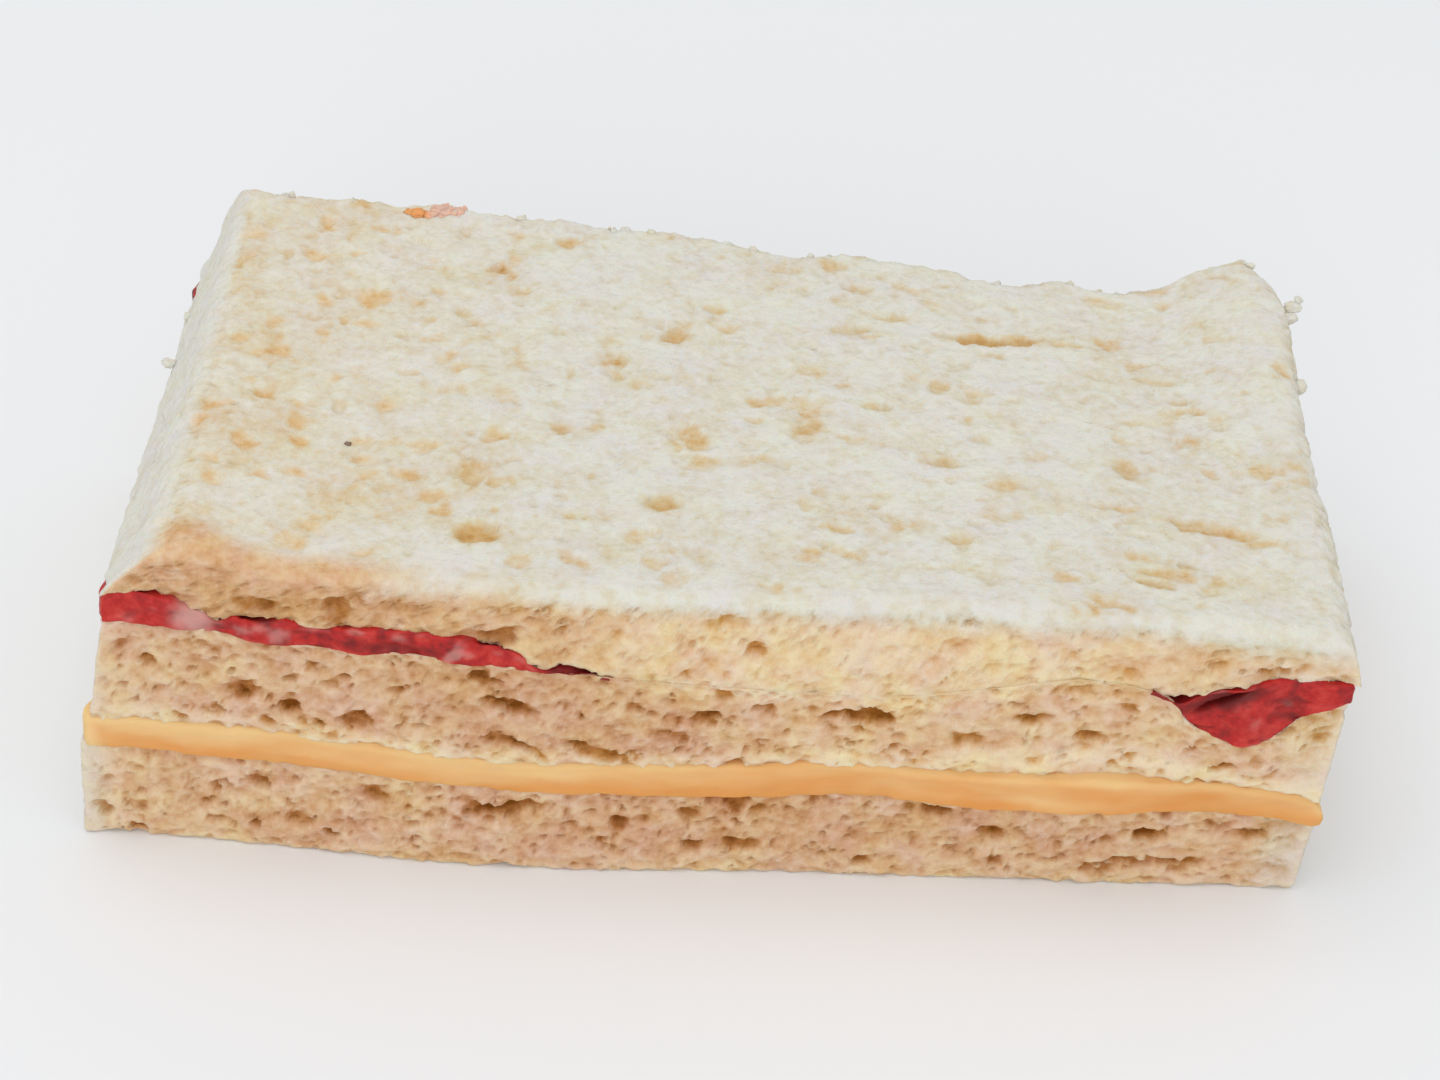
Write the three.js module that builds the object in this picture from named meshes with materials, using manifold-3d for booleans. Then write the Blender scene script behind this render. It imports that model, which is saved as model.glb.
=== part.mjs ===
// Half of a crustless salami and cheese sandwich: three slices of white bread,
// cheese between the lower two and two slices of salami between the upper two.
// Millimetres. +X runs along the long cut face, +Y from that face to the back, +Z up.
import * as THREE from "three";
import { mergeVertices } from "three/addons/utils/BufferGeometryUtils.js";
import Module from "manifold-3d";

const wasm = await Module();
wasm.setup();

const { lerp, clamp, smoothstep } = THREE.MathUtils;

// Where the front and back cuts stand, and the height at which the bowed front would be straight
const FRONT = -26;
const BACK = 28.5;
const STRAIGHT_HEIGHT = 56;

// Clear space left between neighbouring layers
const LAYER_GAP = 0.2;

// Share of the cells along X that lie over the folded salami, and where that stretch starts
const FINE_SHARE = 0.38;
const FINE_START = 34;
const LENGTH_LOW = -52.6;
const LENGTH_HIGH = 52.6;

// The salami slices are discs, cut off where the sandwich was cut
const SALAMI_RADIUS = 44;
const SALAMI_CENTRE = { x: -41.3, y: 1 };
const SALAMI_TAPER = 7;
const SALAMI_MARGIN = 1.2;

// How far past the edges of the salami the bread still bridges over it
const BREAD_MARGIN = 3;
const FOLD_MARGIN = 0.6;

// Where the cheese bulges out between the slices at the front cut, and by how much
const CHEESE_LIP = 0.9;
const CHEESE_LIP_AT = 31;
const CHEESE_LIP_WIDTH = 9;

// Rounding of the top slice's upper rim, and the scrap of salami that lies on it at the back
const RIM_RADIUS = 1.7;
const RIM_SLOPE = 0.75;
const SCRAP = { left: -31.2, right: -25.4, width: 1.5, thickness: 0.8 };

const SALAMI_COLOUR = 0xa83a3a;
const BREAD_COLOUR = 0xe6dccb;
const CHEESE_COLOUR = 0xe9b878;

// Smooth curve through [place, value] knots: cubics whose slope at a knot is that of the chord past it
function curve(knots) {
  const last = knots.length - 1;
  const slopes = knots.map((knot, i) => {
    const before = knots[Math.max(i - 1, 0)];
    const after = knots[Math.min(i + 1, last)];
    return (after[1] - before[1]) / (after[0] - before[0]);
  });
  return (place) => {
    const at = clamp(place, knots[0][0], knots[last][0]);
    let i = 0;
    while (i < last - 1 && at > knots[i + 1][0]) {
      i += 1;
    }
    const width = knots[i + 1][0] - knots[i][0];
    const t = (at - knots[i][0]) / width;
    const fromStart = (1 + 2 * t) * (1 - t) ** 2;
    const startSlope = t * (1 - t) ** 2;
    const endSlope = t * t * (t - 1);
    return (
      fromStart * knots[i][1] +
      (1 - fromStart) * knots[i + 1][1] +
      width * (startSlope * slopes[i] + endSlope * slopes[i + 1])
    );
  };
}

// Height over the whole plan from a curve along the front cut and one along the back cut
function sheet(front, back) {
  const atFront = curve(front);
  const atBack = curve(back);
  return (x, y) => {
    const share = clamp((y - FRONT) / (BACK - FRONT), 0, 1);
    return lerp(atFront(x), atBack(x), share);
  };
}

// How far the front cut stands proud of its straight line at the table
const bow = curve([
  [-53, -0.9],
  [-44, -1.0],
  [-20, -2.6],
  [8, -1.2],
  [34, -0.3],
  [52, 0.4],
]);

// Torn outline of the top slice at the back, past the straight cut
const tornEdge = curve([
  [-47, 0.5],
  [-28, 0.1],
  [-4, -0.2],
  [5.5, -1.7],
  [11, -0.4],
  [20, -0.9],
  [26, -2.4],
  [31, -1.2],
  [36, -2.0],
  [41, -1.6],
  [45, 0.1],
  [50, 0.6],
]);

// Heights of the boundaries between the layers
const cheeseUnderside = sheet(
  [[-53, 9.8], [-32, 9.5], [-20, 8.9], [-4, 8.4], [12, 9.2], [24, 8.6], [34, 8.8], [42, 8.8], [52, 7.7]],
  [[-53, 9.3], [-20, 9.6], [8, 8.9], [30, 9.3], [52, 9.0]],
);
const cheeseThickness = sheet(
  [[-53, 3.1], [-34, 3.1], [-20, 2.9], [4, 3.4], [22, 3.3], [33, 3.7], [41, 3.1], [52, 2.8]],
  [[-53, 3.1], [0, 3.0], [52, 3.1]],
);
const middleTop = sheet(
  [
    [-52, 22.9], [-44, 22.6], [-36, 21.7], [-26, 21.7], [-18, 21.2], [-10, 20.5], [0, 19.8],
    [14, 19.5], [22, 20.8], [30, 22.2], [36, 21.0], [39, 18.7], [41.5, 17.1], [44, 16.4],
    [46.4, 17.0], [49, 19.5], [52, 21.2],
  ],
  [[-52, 21.3], [-20, 21.7], [4, 21.1], [20, 21.5], [34, 20.9], [44, 19.3], [52, 20.5]],
);
const topSurface = sheet(
  [[-50, 30.7], [-44, 30.2], [-36, 29.2], [-12, 28.8], [30, 28.9], [44, 28.0], [52, 27.2]],
  [[-48, 33.0], [-18, 31.9], [0, 31.1], [12, 30.2], [28, 29.3], [39, 29.4], [49, 32.2]],
);

// Thickness of the flat salami slice: wavy, and thinning to nothing at its round edge
const flatSalamiBody = sheet(
  [[-52, 2.8], [-47, 3.2], [-38, 2.6], [-24, 2.6], [-16, 2.1], [-8, 2.0]],
  [[-52, 2.0], [-38, 2.4], [-24, 2.3], [-8, 2.4]],
);

function flatSalamiThickness(x, y, margin = 0) {
  const reach = Math.hypot(x - SALAMI_CENTRE.x, y - SALAMI_CENTRE.y);
  const inside = SALAMI_RADIUS + margin - reach;
  return flatSalamiBody(x, y) * smoothstep(inside, 0, SALAMI_TAPER);
}

// Thickness of the salami slice that is folded over on itself, which is thickest beside its fold
const foldedSalamiThickness = sheet(
  [[33, 0], [35.5, 0.4], [38, 1.2], [40, 3.8], [44, 6.5], [46.4, 6.6], [49, 4.0], [52, 2.3]],
  [[33, 0], [35, 0.5], [38, 1.0], [40.5, 3.0], [44, 4.6], [48, 4.0], [52, 2.6]],
);

// Space between the middle and the top slice, which bridge over the edges of the salami
function fillingSpace(x, y) {
  const flat = flatSalamiThickness(x, y, BREAD_MARGIN);
  const folded = Math.max(foldedSalamiThickness(x, y), foldedSalamiThickness(x + FOLD_MARGIN, y));
  return 2 * LAYER_GAP + flat + folded;
}

// Share of the length at cell share u: the cells are closer together over the folded salami
function station(u) {
  const fineFrom = (FINE_START - LENGTH_LOW) / (LENGTH_HIGH - LENGTH_LOW);
  return u < 1 - FINE_SHARE
    ? (fineFrom * u) / (1 - FINE_SHARE)
    : 1 - ((1 - fineFrom) * (1 - u)) / FINE_SHARE;
}

// Share of the height at cell share w: the cells are closer together at the two rounded rims
function level(w) {
  return (1 - Math.cos(Math.PI * w)) / 2;
}

// How far a side draws in at a height above the layer's foot, for a round rim of each radius
function rimInset(height, thickness, footRadius, headRadius) {
  const foot = clamp(1 - height / footRadius, 0, 1);
  const head = clamp(1 - (thickness - height) / headRadius, 0, 1);
  return (
    footRadius * (1 - Math.sqrt(1 - foot * foot)) +
    headRadius * (1 - Math.sqrt(1 - head * head))
  );
}

// Closed layer between two height functions: a box of cells whose corners move to the layer's sides
function layer({ cells, spread, left, right, front, back, lower, upper, footRadius, headRadius }) {
  const box = new THREE.BoxGeometry(1, 1, 1, ...cells);
  box.deleteAttribute("normal");
  box.deleteAttribute("uv");
  const shape = mergeVertices(box);
  const corners = shape.getAttribute("position");
  for (let i = 0; i < corners.count; i += 1) {
    const u = spread(corners.getX(i) + 0.5);
    const v = corners.getY(i) + 0.5;
    const w = level(corners.getZ(i) + 0.5);
    const roughX = lerp(left(v, w), right(v, w), u);
    const roughY = lerp(FRONT, BACK, v);
    const thickness = upper(roughX, roughY) - lower(roughX, roughY);
    const height = thickness * w;
    const inset = rimInset(height, thickness, footRadius, headRadius);
    const x = lerp(left(v, w) + inset, right(v, w) - inset, u);
    const lean = 1 - (lower(roughX, roughY) + height) / STRAIGHT_HEIGHT;
    const y = lerp(FRONT + bow(x) * lean + front(x) + inset, BACK + back(x, w) - inset, v);
    corners.setXYZ(i, x, y, lerp(lower(x, y), upper(x, y), w));
  }
  return shape;
}

// Solid of a merged, closed geometry
function solid(shape) {
  return new wasm.Manifold(
    new wasm.Mesh({
      numProp: 3,
      vertProperties: new Float32Array(shape.getAttribute("position").array),
      triVerts: new Uint32Array(shape.index.array),
    }),
  );
}

// Seeded draws from 0 to 1
function drawer(seed) {
  let state = seed;
  return () => {
    state = (state * 1664525 + 1013904223) % 4294967296;
    return state / 4294967296;
  };
}

// Round hollow with three half sizes, turned about the upright axis and about the axis through the cut
function hollow({ at, half, turn = 0, tilt = 0, detail = 0 }) {
  const ball = detail ? new THREE.OctahedronGeometry(1, 1) : new THREE.IcosahedronGeometry(1, 0);
  ball.deleteAttribute("normal");
  ball.deleteAttribute("uv");
  const shape = mergeVertices(ball);
  shape.scale(...half);
  shape.rotateY(tilt);
  shape.rotateZ(turn);
  shape.translate(...at);
  return solid(shape);
}

// Pores scattered over one face, one in each patch of a loose grid and none where the draw skips it
function scatter({ seed, across, along, chance, size, place }) {
  const draw = drawer(seed);
  const pores = [];
  for (let i = 0; i < across; i += 1) {
    for (let j = 0; j < along; j += 1) {
      const u = (i + 0.15 + 0.7 * draw()) / across;
      const v = (j + 0.15 + 0.7 * draw()) / along;
      const radius = lerp(size[0], size[1], draw() ** 2);
      const stretch = 1 + 0.9 * draw();
      const turn = (draw() - 0.5) * 1.2;
      if (draw() < chance) {
        pores.push(hollow(place(u, v, radius, stretch, turn)));
      }
    }
  }
  return pores;
}

// Places of a pore on the front cut and the back cut of a slice
function onCut(lower, upper, side) {
  return (u, v, radius, stretch, turn) => {
    const x = lerp(-50, 50, u);
    const y = side === "front" ? FRONT + bow(x) * 0.8 : BACK;
    const foot = lower(x, y) + 1;
    const head = upper(x, y) - 1;
    return {
      at: [x, y, lerp(foot, head, v)],
      half: [radius * stretch, radius, radius * 0.6],
      tilt: turn * 0.4,
    };
  };
}

// Places of a pore on the left end and the right end of a slice
function onEnd(lower, upper, x) {
  return (u, v, radius, stretch, turn) => {
    const y = lerp(FRONT + 3, BACK - 3, u);
    const foot = lower(x, y) + 1.5;
    const head = upper(x, y) - 1.5;
    return {
      at: [x, y, lerp(foot, head, v)],
      half: [radius, radius * stretch, radius * 0.6],
      turn: turn * 0.2,
    };
  };
}

// Place of a pore on the top of the sandwich
function onTop(u, v, radius, stretch, turn) {
  const x = lerp(-44, 50, u);
  const y = lerp(FRONT + 2.5, BACK - 3, v);
  return {
    at: [x, y, topSurface(x, y)],
    half: [radius * stretch, radius, radius * 0.9],
    turn,
  };
}

// Pores that stand out on a cut: where they are along X and Z, and half their length, depth and height
function cutPores(list) {
  return list.map(([x, z, length, depth, height, tilt]) =>
    hollow({
      at: [x, FRONT + bow(x) * (1 - z / STRAIGHT_HEIGHT), z],
      half: [length, depth, height],
      tilt,
      detail: 1,
    }),
  );
}

// Pores that stand out on the top: where they are in plan, and half their length, width and depth
function topPores(list) {
  return list.map(([x, y, length, width, depth, turn]) =>
    hollow({
      at: [x, y, topSurface(x, y) + 0.2],
      half: [length, width, depth],
      turn,
      detail: 1,
    }),
  );
}

// Takes a list of hollows out of a solid layer
function carve(shape, hollows) {
  return solid(shape).subtract(wasm.Manifold.union(hollows));
}

function meshOf(name, body, color, roughness) {
  const made = body.getMesh();
  const geometry = new THREE.BufferGeometry();
  geometry.setAttribute("position", new THREE.BufferAttribute(made.vertProperties, 3));
  geometry.setIndex(new THREE.BufferAttribute(made.triVerts, 1));
  geometry.computeVertexNormals();
  const material = new THREE.MeshStandardMaterial({ color, roughness, metalness: 0 });
  const mesh = new THREE.Mesh(geometry, material);
  mesh.name = name;
  return mesh;
}

function breadBottom() {
  const table = () => 0;
  const upper = (x, y) => cheeseUnderside(x, y) - LAYER_GAP;
  const shape = layer({
    cells: [18, 5, 3],
    spread: (u) => u,
    left: (v, w) => -53.3 + 0.2 * w + 0.5 * v,
    right: (v, w) => 51.4 + 0.5 * w - 0.4 * v,
    front: () => 0,
    back: (x) => 0.3 * Math.sin(0.13 * x),
    lower: table,
    upper,
    footRadius: 0.8,
    headRadius: 0.7,
  });
  const standing = cutPores([
    [19.1, 7.7, 1.5, 1.2, 0.8, 0.3],
    [24.2, 5.3, 1.9, 1.5, 0.9, 0.4],
    [37.9, 5.6, 1.6, 1.2, 0.7, 0],
    [-17.0, 6.7, 4.4, 1.3, 0.6, -0.1],
    [-28.5, 7.3, 1.6, 1.2, 0.9, 0.2],
    [-35.0, 3.3, 1.7, 1.2, 0.9, -0.2],
    [38.0, 2.6, 6.2, 1.2, 0.5, 0],
  ]);
  const loose = { across: 18, along: 2, chance: 0.58, size: [0.6, 1.1] };
  return carve(shape, [
    ...standing,
    ...scatter({ ...loose, seed: 11, place: onCut(table, upper, "front") }),
    ...scatter({ ...loose, seed: 12, chance: 0.3, place: onCut(table, upper, "back") }),
    ...scatter({ ...loose, seed: 13, across: 7, along: 1, place: onEnd(table, upper, -52.9) }),
    ...scatter({ ...loose, seed: 14, across: 7, along: 1, place: onEnd(table, upper, 52.0) }),
  ]);
}

// How far the cheese bulges out at the front cut
function cheeseLip(x) {
  const away = (x - CHEESE_LIP_AT) / CHEESE_LIP_WIDTH;
  return CHEESE_LIP * Math.exp(-away * away);
}

function cheeseSlice() {
  const shape = layer({
    cells: [20, 5, 3],
    spread: (u) => u,
    left: (v) => -53.0 + 0.3 * v,
    right: (v) => 52.3 - 0.4 * v,
    front: (x) => -0.2 - 0.1 * Math.sin(0.4 * x) - cheeseLip(x),
    back: (x) => 0.3 + 0.1 * Math.sin(0.5 * x),
    lower: cheeseUnderside,
    upper: (x, y) => cheeseUnderside(x, y) + cheeseThickness(x, y),
    footRadius: 0.9,
    headRadius: 0.9,
  });
  return solid(shape);
}

function breadMiddle() {
  const lower = (x, y) => cheeseUnderside(x, y) + cheeseThickness(x, y) + LAYER_GAP;
  const shape = layer({
    cells: [28, 6, 3],
    spread: station,
    left: (v, w) => -52.2 + 1.5 * w + 0.2 * v,
    right: (v, w) => 51.9 + 0.3 * w - 0.3 * v,
    front: () => 0,
    back: (x) => 0.3 * Math.sin(0.11 * x + 2),
    lower,
    upper: middleTop,
    footRadius: 0.7,
    headRadius: 0.7,
  });
  const standing = cutPores([
    [-39.6, 16.9, 1.9, 1.2, 1.0, 0.3],
    [-17.7, 17.3, 3.2, 1.2, 0.7, 0.1],
    [-1.1, 16.9, 1.6, 1.2, 0.9, -0.2],
    [12.0, 17.7, 3.3, 1.6, 0.8, 0],
    [26.0, 18.1, 2.2, 1.1, 0.7, -0.1],
    [-30.0, 14.9, 1.6, 1.1, 0.8, 0],
  ]);
  const loose = { across: 18, along: 2, chance: 0.58, size: [0.6, 1.1] };
  return carve(shape, [
    ...standing,
    ...scatter({ ...loose, seed: 21, place: onCut(lower, middleTop, "front") }),
    ...scatter({ ...loose, seed: 22, chance: 0.3, place: onCut(lower, middleTop, "back") }),
    ...scatter({ ...loose, seed: 23, across: 7, along: 1, place: onEnd(lower, middleTop, -52.2) }),
    ...scatter({ ...loose, seed: 24, across: 7, along: 1, place: onEnd(lower, middleTop, 52.3) }),
  ]);
}

function salamiFlat() {
  const edge = (v) => {
    const y = lerp(FRONT, BACK, v) - SALAMI_CENTRE.y;
    return SALAMI_CENTRE.x + Math.sqrt((SALAMI_RADIUS - SALAMI_MARGIN) ** 2 - y * y);
  };
  const shape = layer({
    cells: [12, 9, 1],
    spread: (u) => u,
    left: (v) => -50.3 - 0.9 * Math.cos(Math.PI * v) ** 24,
    right: edge,
    front: (x) => -0.3 - 0.25 * Math.sin(0.8 * x),
    back: (x) => 0.3 + 0.25 * Math.sin(0.6 * x),
    lower: (x, y) => middleTop(x, y) + LAYER_GAP,
    upper: (x, y) => middleTop(x, y) + LAYER_GAP + flatSalamiThickness(x, y),
    footRadius: 0.1,
    headRadius: 0.1,
  });
  return solid(shape);
}

function salamiFolded() {
  const shape = layer({
    cells: [12, 7, 2],
    spread: (u) => u,
    left: (v) => 35.2 + 0.6 * Math.sin(7 * v),
    right: (v) => 52.4 - 0.4 * v + 0.2 * Math.sin(9 * v),
    front: (x) => -0.3 - 0.3 * Math.sin(0.9 * x),
    back: (x) => 0.3 + 0.2 * Math.sin(0.7 * x),
    lower: (x, y) => middleTop(x, y) + LAYER_GAP,
    upper: (x, y) => middleTop(x, y) + LAYER_GAP + foldedSalamiThickness(x, y),
    footRadius: 0.1,
    headRadius: 0.1,
  });
  const fold = cutPores([[42.0, 21.1, 3.6, 2.6, 0.35, -0.62]]);
  return carve(shape, fold);
}

function salamiScrap() {
  const box = new THREE.BoxGeometry(1, 1, 1, 6, 2, 1);
  box.deleteAttribute("normal");
  box.deleteAttribute("uv");
  const shape = mergeVertices(box);
  const corners = shape.getAttribute("position");
  for (let i = 0; i < corners.count; i += 1) {
    const along = corners.getX(i) + 0.5;
    const narrow = 1 - 0.5 * Math.abs(2 * along - 1) ** 3;
    const x = lerp(SCRAP.left, SCRAP.right, along);
    const y = BACK - RIM_RADIUS + 0.6 * along + SCRAP.width * narrow * corners.getY(i);
    const drop = RIM_SLOPE * Math.max(0, y - (BACK - RIM_RADIUS));
    const rise = SCRAP.thickness * narrow * (corners.getZ(i) + 0.5);
    corners.setXYZ(i, x, y, topSurface(x, y) - drop + LAYER_GAP + rise);
  }
  return solid(shape);
}

function breadTop() {
  const lower = (x, y) => middleTop(x, y) + fillingSpace(x, y);
  const shape = layer({
    cells: [28, 10, 4],
    spread: station,
    left: (v, w) => -50.8 + lerp(5.1, 4.3, v) * w,
    right: (v, w) => 52.9 - lerp(1.3, 0.4, v) * w + 0.3 * Math.sin(9 * v),
    front: () => 0,
    back: (x, w) => tornEdge(x) * w,
    lower,
    upper: topSurface,
    footRadius: 0.7,
    headRadius: RIM_RADIUS,
  });
  const pockets = cutPores([
    [-38.4, 25.3, 2.2, 2.0, 1.0, 0.1],
    [-31.6, 25.9, 1.4, 2.0, 1.6, 0],
    [-18.4, 24.3, 1.8, 2.2, 1.2, 0.2],
    [0, 26.9, 2.6, 1.2, 0.8, -0.2],
    [19.2, 25.3, 1.7, 1.2, 0.9, 0],
  ]);
  const craters = topPores([
    [-22.3, -13.3, 2.0, 1.7, 1.7, 0],
    [-21.0, -21.2, 2.3, 1.4, 1.5, 0.4],
    [-22.0, 20.6, 1.5, 1.0, 1.1, 0],
    [-4.9, 11.2, 1.6, 1.1, 1.1, 0.3],
    [-11.4, 6.7, 1.8, 0.9, 1.0, 0.2],
    [-6.3, -15.3, 2.3, 1.2, 1.2, 0.1],
    [5.8, -2.7, 1.8, 1.0, 1.1, -0.1],
    [24.3, 13.6, 5.6, 0.8, 1.2, 0.08],
    [39.6, -15.0, 3.9, 0.8, 1.1, -0.3],
    [34.6, -22.1, 1.9, 0.9, 1.1, 0],
    [33.7, -6.6, 1.8, 0.9, 1.0, 0],
    [11.4, 0.3, 1.5, 0.9, 1.0, 0.2],
    [38.6, 5.2, 3.0, 0.7, 0.9, 0],
  ]);
  return carve(shape, [
    ...pockets,
    ...craters,
    ...scatter({ seed: 31, across: 15, along: 8, chance: 0.66, size: [0.6, 1.2], place: onTop }),
    ...scatter({
      seed: 32,
      across: 16,
      along: 1,
      chance: 0.8,
      size: [0.6, 1.0],
      place: onCut(lower, (x, y) => topSurface(x, y) - 1.5, "front"),
    }),
    ...scatter({
      seed: 33,
      across: 12,
      along: 1,
      chance: 0.6,
      size: [0.6, 1.0],
      place: onCut(lower, (x, y) => topSurface(x, y) - 1.5, "back"),
    }),
  ]);
}

const sandwich = new THREE.Group();
sandwich.add(meshOf("bread_bottom", breadBottom(), BREAD_COLOUR, 0.9));
sandwich.add(meshOf("cheese_slice", cheeseSlice(), CHEESE_COLOUR, 0.4));
sandwich.add(meshOf("bread_middle", breadMiddle(), BREAD_COLOUR, 0.9));
sandwich.add(meshOf("salami_flat", salamiFlat(), SALAMI_COLOUR, 0.4));
sandwich.add(meshOf("salami_folded", salamiFolded(), SALAMI_COLOUR, 0.4));
sandwich.add(meshOf("bread_top", breadTop(), BREAD_COLOUR, 0.9));
sandwich.add(meshOf("salami_scrap", salamiScrap(), SALAMI_COLOUR, 0.4));

export default sandwich;
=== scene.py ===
"""Looks for half of a crustless salami and cheese sandwich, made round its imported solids.

Lengths are in millimetres until a mesh is written, and every mesh is written in metres.
"""
import logging
from dataclasses import dataclass
from enum import Enum
from functools import partial
from typing import Callable, Iterator, Sequence

import bpy
import numpy as np
from mathutils import Euler, Matrix


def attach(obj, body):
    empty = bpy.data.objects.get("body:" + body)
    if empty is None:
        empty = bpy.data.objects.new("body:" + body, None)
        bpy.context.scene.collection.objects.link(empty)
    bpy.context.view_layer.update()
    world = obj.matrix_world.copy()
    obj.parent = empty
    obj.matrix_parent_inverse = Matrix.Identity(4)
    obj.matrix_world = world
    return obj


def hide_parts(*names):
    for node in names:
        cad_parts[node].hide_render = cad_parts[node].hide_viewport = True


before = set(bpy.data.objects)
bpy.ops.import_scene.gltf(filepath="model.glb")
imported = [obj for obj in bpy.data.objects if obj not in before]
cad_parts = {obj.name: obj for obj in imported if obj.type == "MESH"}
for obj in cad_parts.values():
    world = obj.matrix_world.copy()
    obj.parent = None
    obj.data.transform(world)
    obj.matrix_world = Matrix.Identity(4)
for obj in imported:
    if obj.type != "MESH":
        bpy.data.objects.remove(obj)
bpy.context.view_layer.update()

MM = 0.001
BODY = "root"
WORD = 2**32
# A turn that no side of the sandwich follows, for the lattices of the noise and of the bubbles.
SKEW = np.array(Euler((0.5, 0.7, 0.4)).to_matrix())
# How far a pore's centre stays from the walls of its lattice cell, as a share of the cell.
CELL_MARGIN = 0.15
# Places of the two inputs and of the output of a Mix node that mixes colours.
MIX_A = 6
MIX_B = 7
MIX_RESULT = 2

Array = np.ndarray
Span = tuple[float, float]
Triple = tuple[float, float, float]
Rows = tuple[tuple[float, ...], ...]
Stops = tuple[tuple[float, str], ...]
Marks = dict[str, Array]

log = logging.getLogger("sandwich")


class Side(Enum):
    """The six sides of a layer: the axis that each stands across, and its end of it, 0 or 1."""

    FRONT = (1, 0)
    BACK = (1, 1)
    LEFT = (0, 0)
    RIGHT = (0, 1)
    HEAD = (2, 1)
    FOOT = (2, 0)


def lerp(a: Array, b: Array, t: Array) -> Array:
    """Return the value that lies the share t of the way from a to b."""
    return a + (b - a) * t


def smoothstep(x: Array, start: float, end: float) -> Array:
    """Return an even S-shaped rise from 0 at start to 1 at end, which may be the lesser of the two."""
    t = np.clip((x - start) / (end - start), 0.0, 1.0)
    return t * t * (3 - 2 * t)


def bump(x: Array, centre: float, width: float) -> Array:
    """Return a bell of height 1 round a centre, where width is the distance at which it is 1/e high."""
    return np.exp(-(((x - centre) / width) ** 2))


def height_at(surface: Callable[[Array, Array], Array], x: float, y: float) -> float:
    """Return the height of a surface at one place."""
    return float(surface(np.array([x]), np.array([y]))[0])


@dataclass(frozen=True)
class Curve:
    """Smooth line through knots: cubics whose slope at a knot is that of the chord past it."""

    knots: Rows

    def __call__(self, place: Array) -> Array:
        """Evaluate the line at each place, holding the end values outside the knots.

        Args:
            place: where along the line, in millimetres.

        Returns:
            The values there.
        """
        at, value = np.array(self.knots, float).T
        slope = np.empty_like(value)
        slope[1:-1] = (value[2:] - value[:-2]) / (at[2:] - at[:-2])
        slope[0] = (value[1] - value[0]) / (at[1] - at[0])
        slope[-1] = (value[-1] - value[-2]) / (at[-1] - at[-2])
        x = np.clip(place, at[0], at[-1])
        i = np.clip(np.searchsorted(at, x) - 1, 0, len(at) - 2)
        width = at[i + 1] - at[i]
        t = (x - at[i]) / width
        from_start = (1 + 2 * t) * (1 - t) ** 2
        bend = t * (1 - t) ** 2 * slope[i] + t * t * (t - 1) * slope[i + 1]
        return from_start * value[i] + (1 - from_start) * value[i + 1] + width * bend


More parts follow.
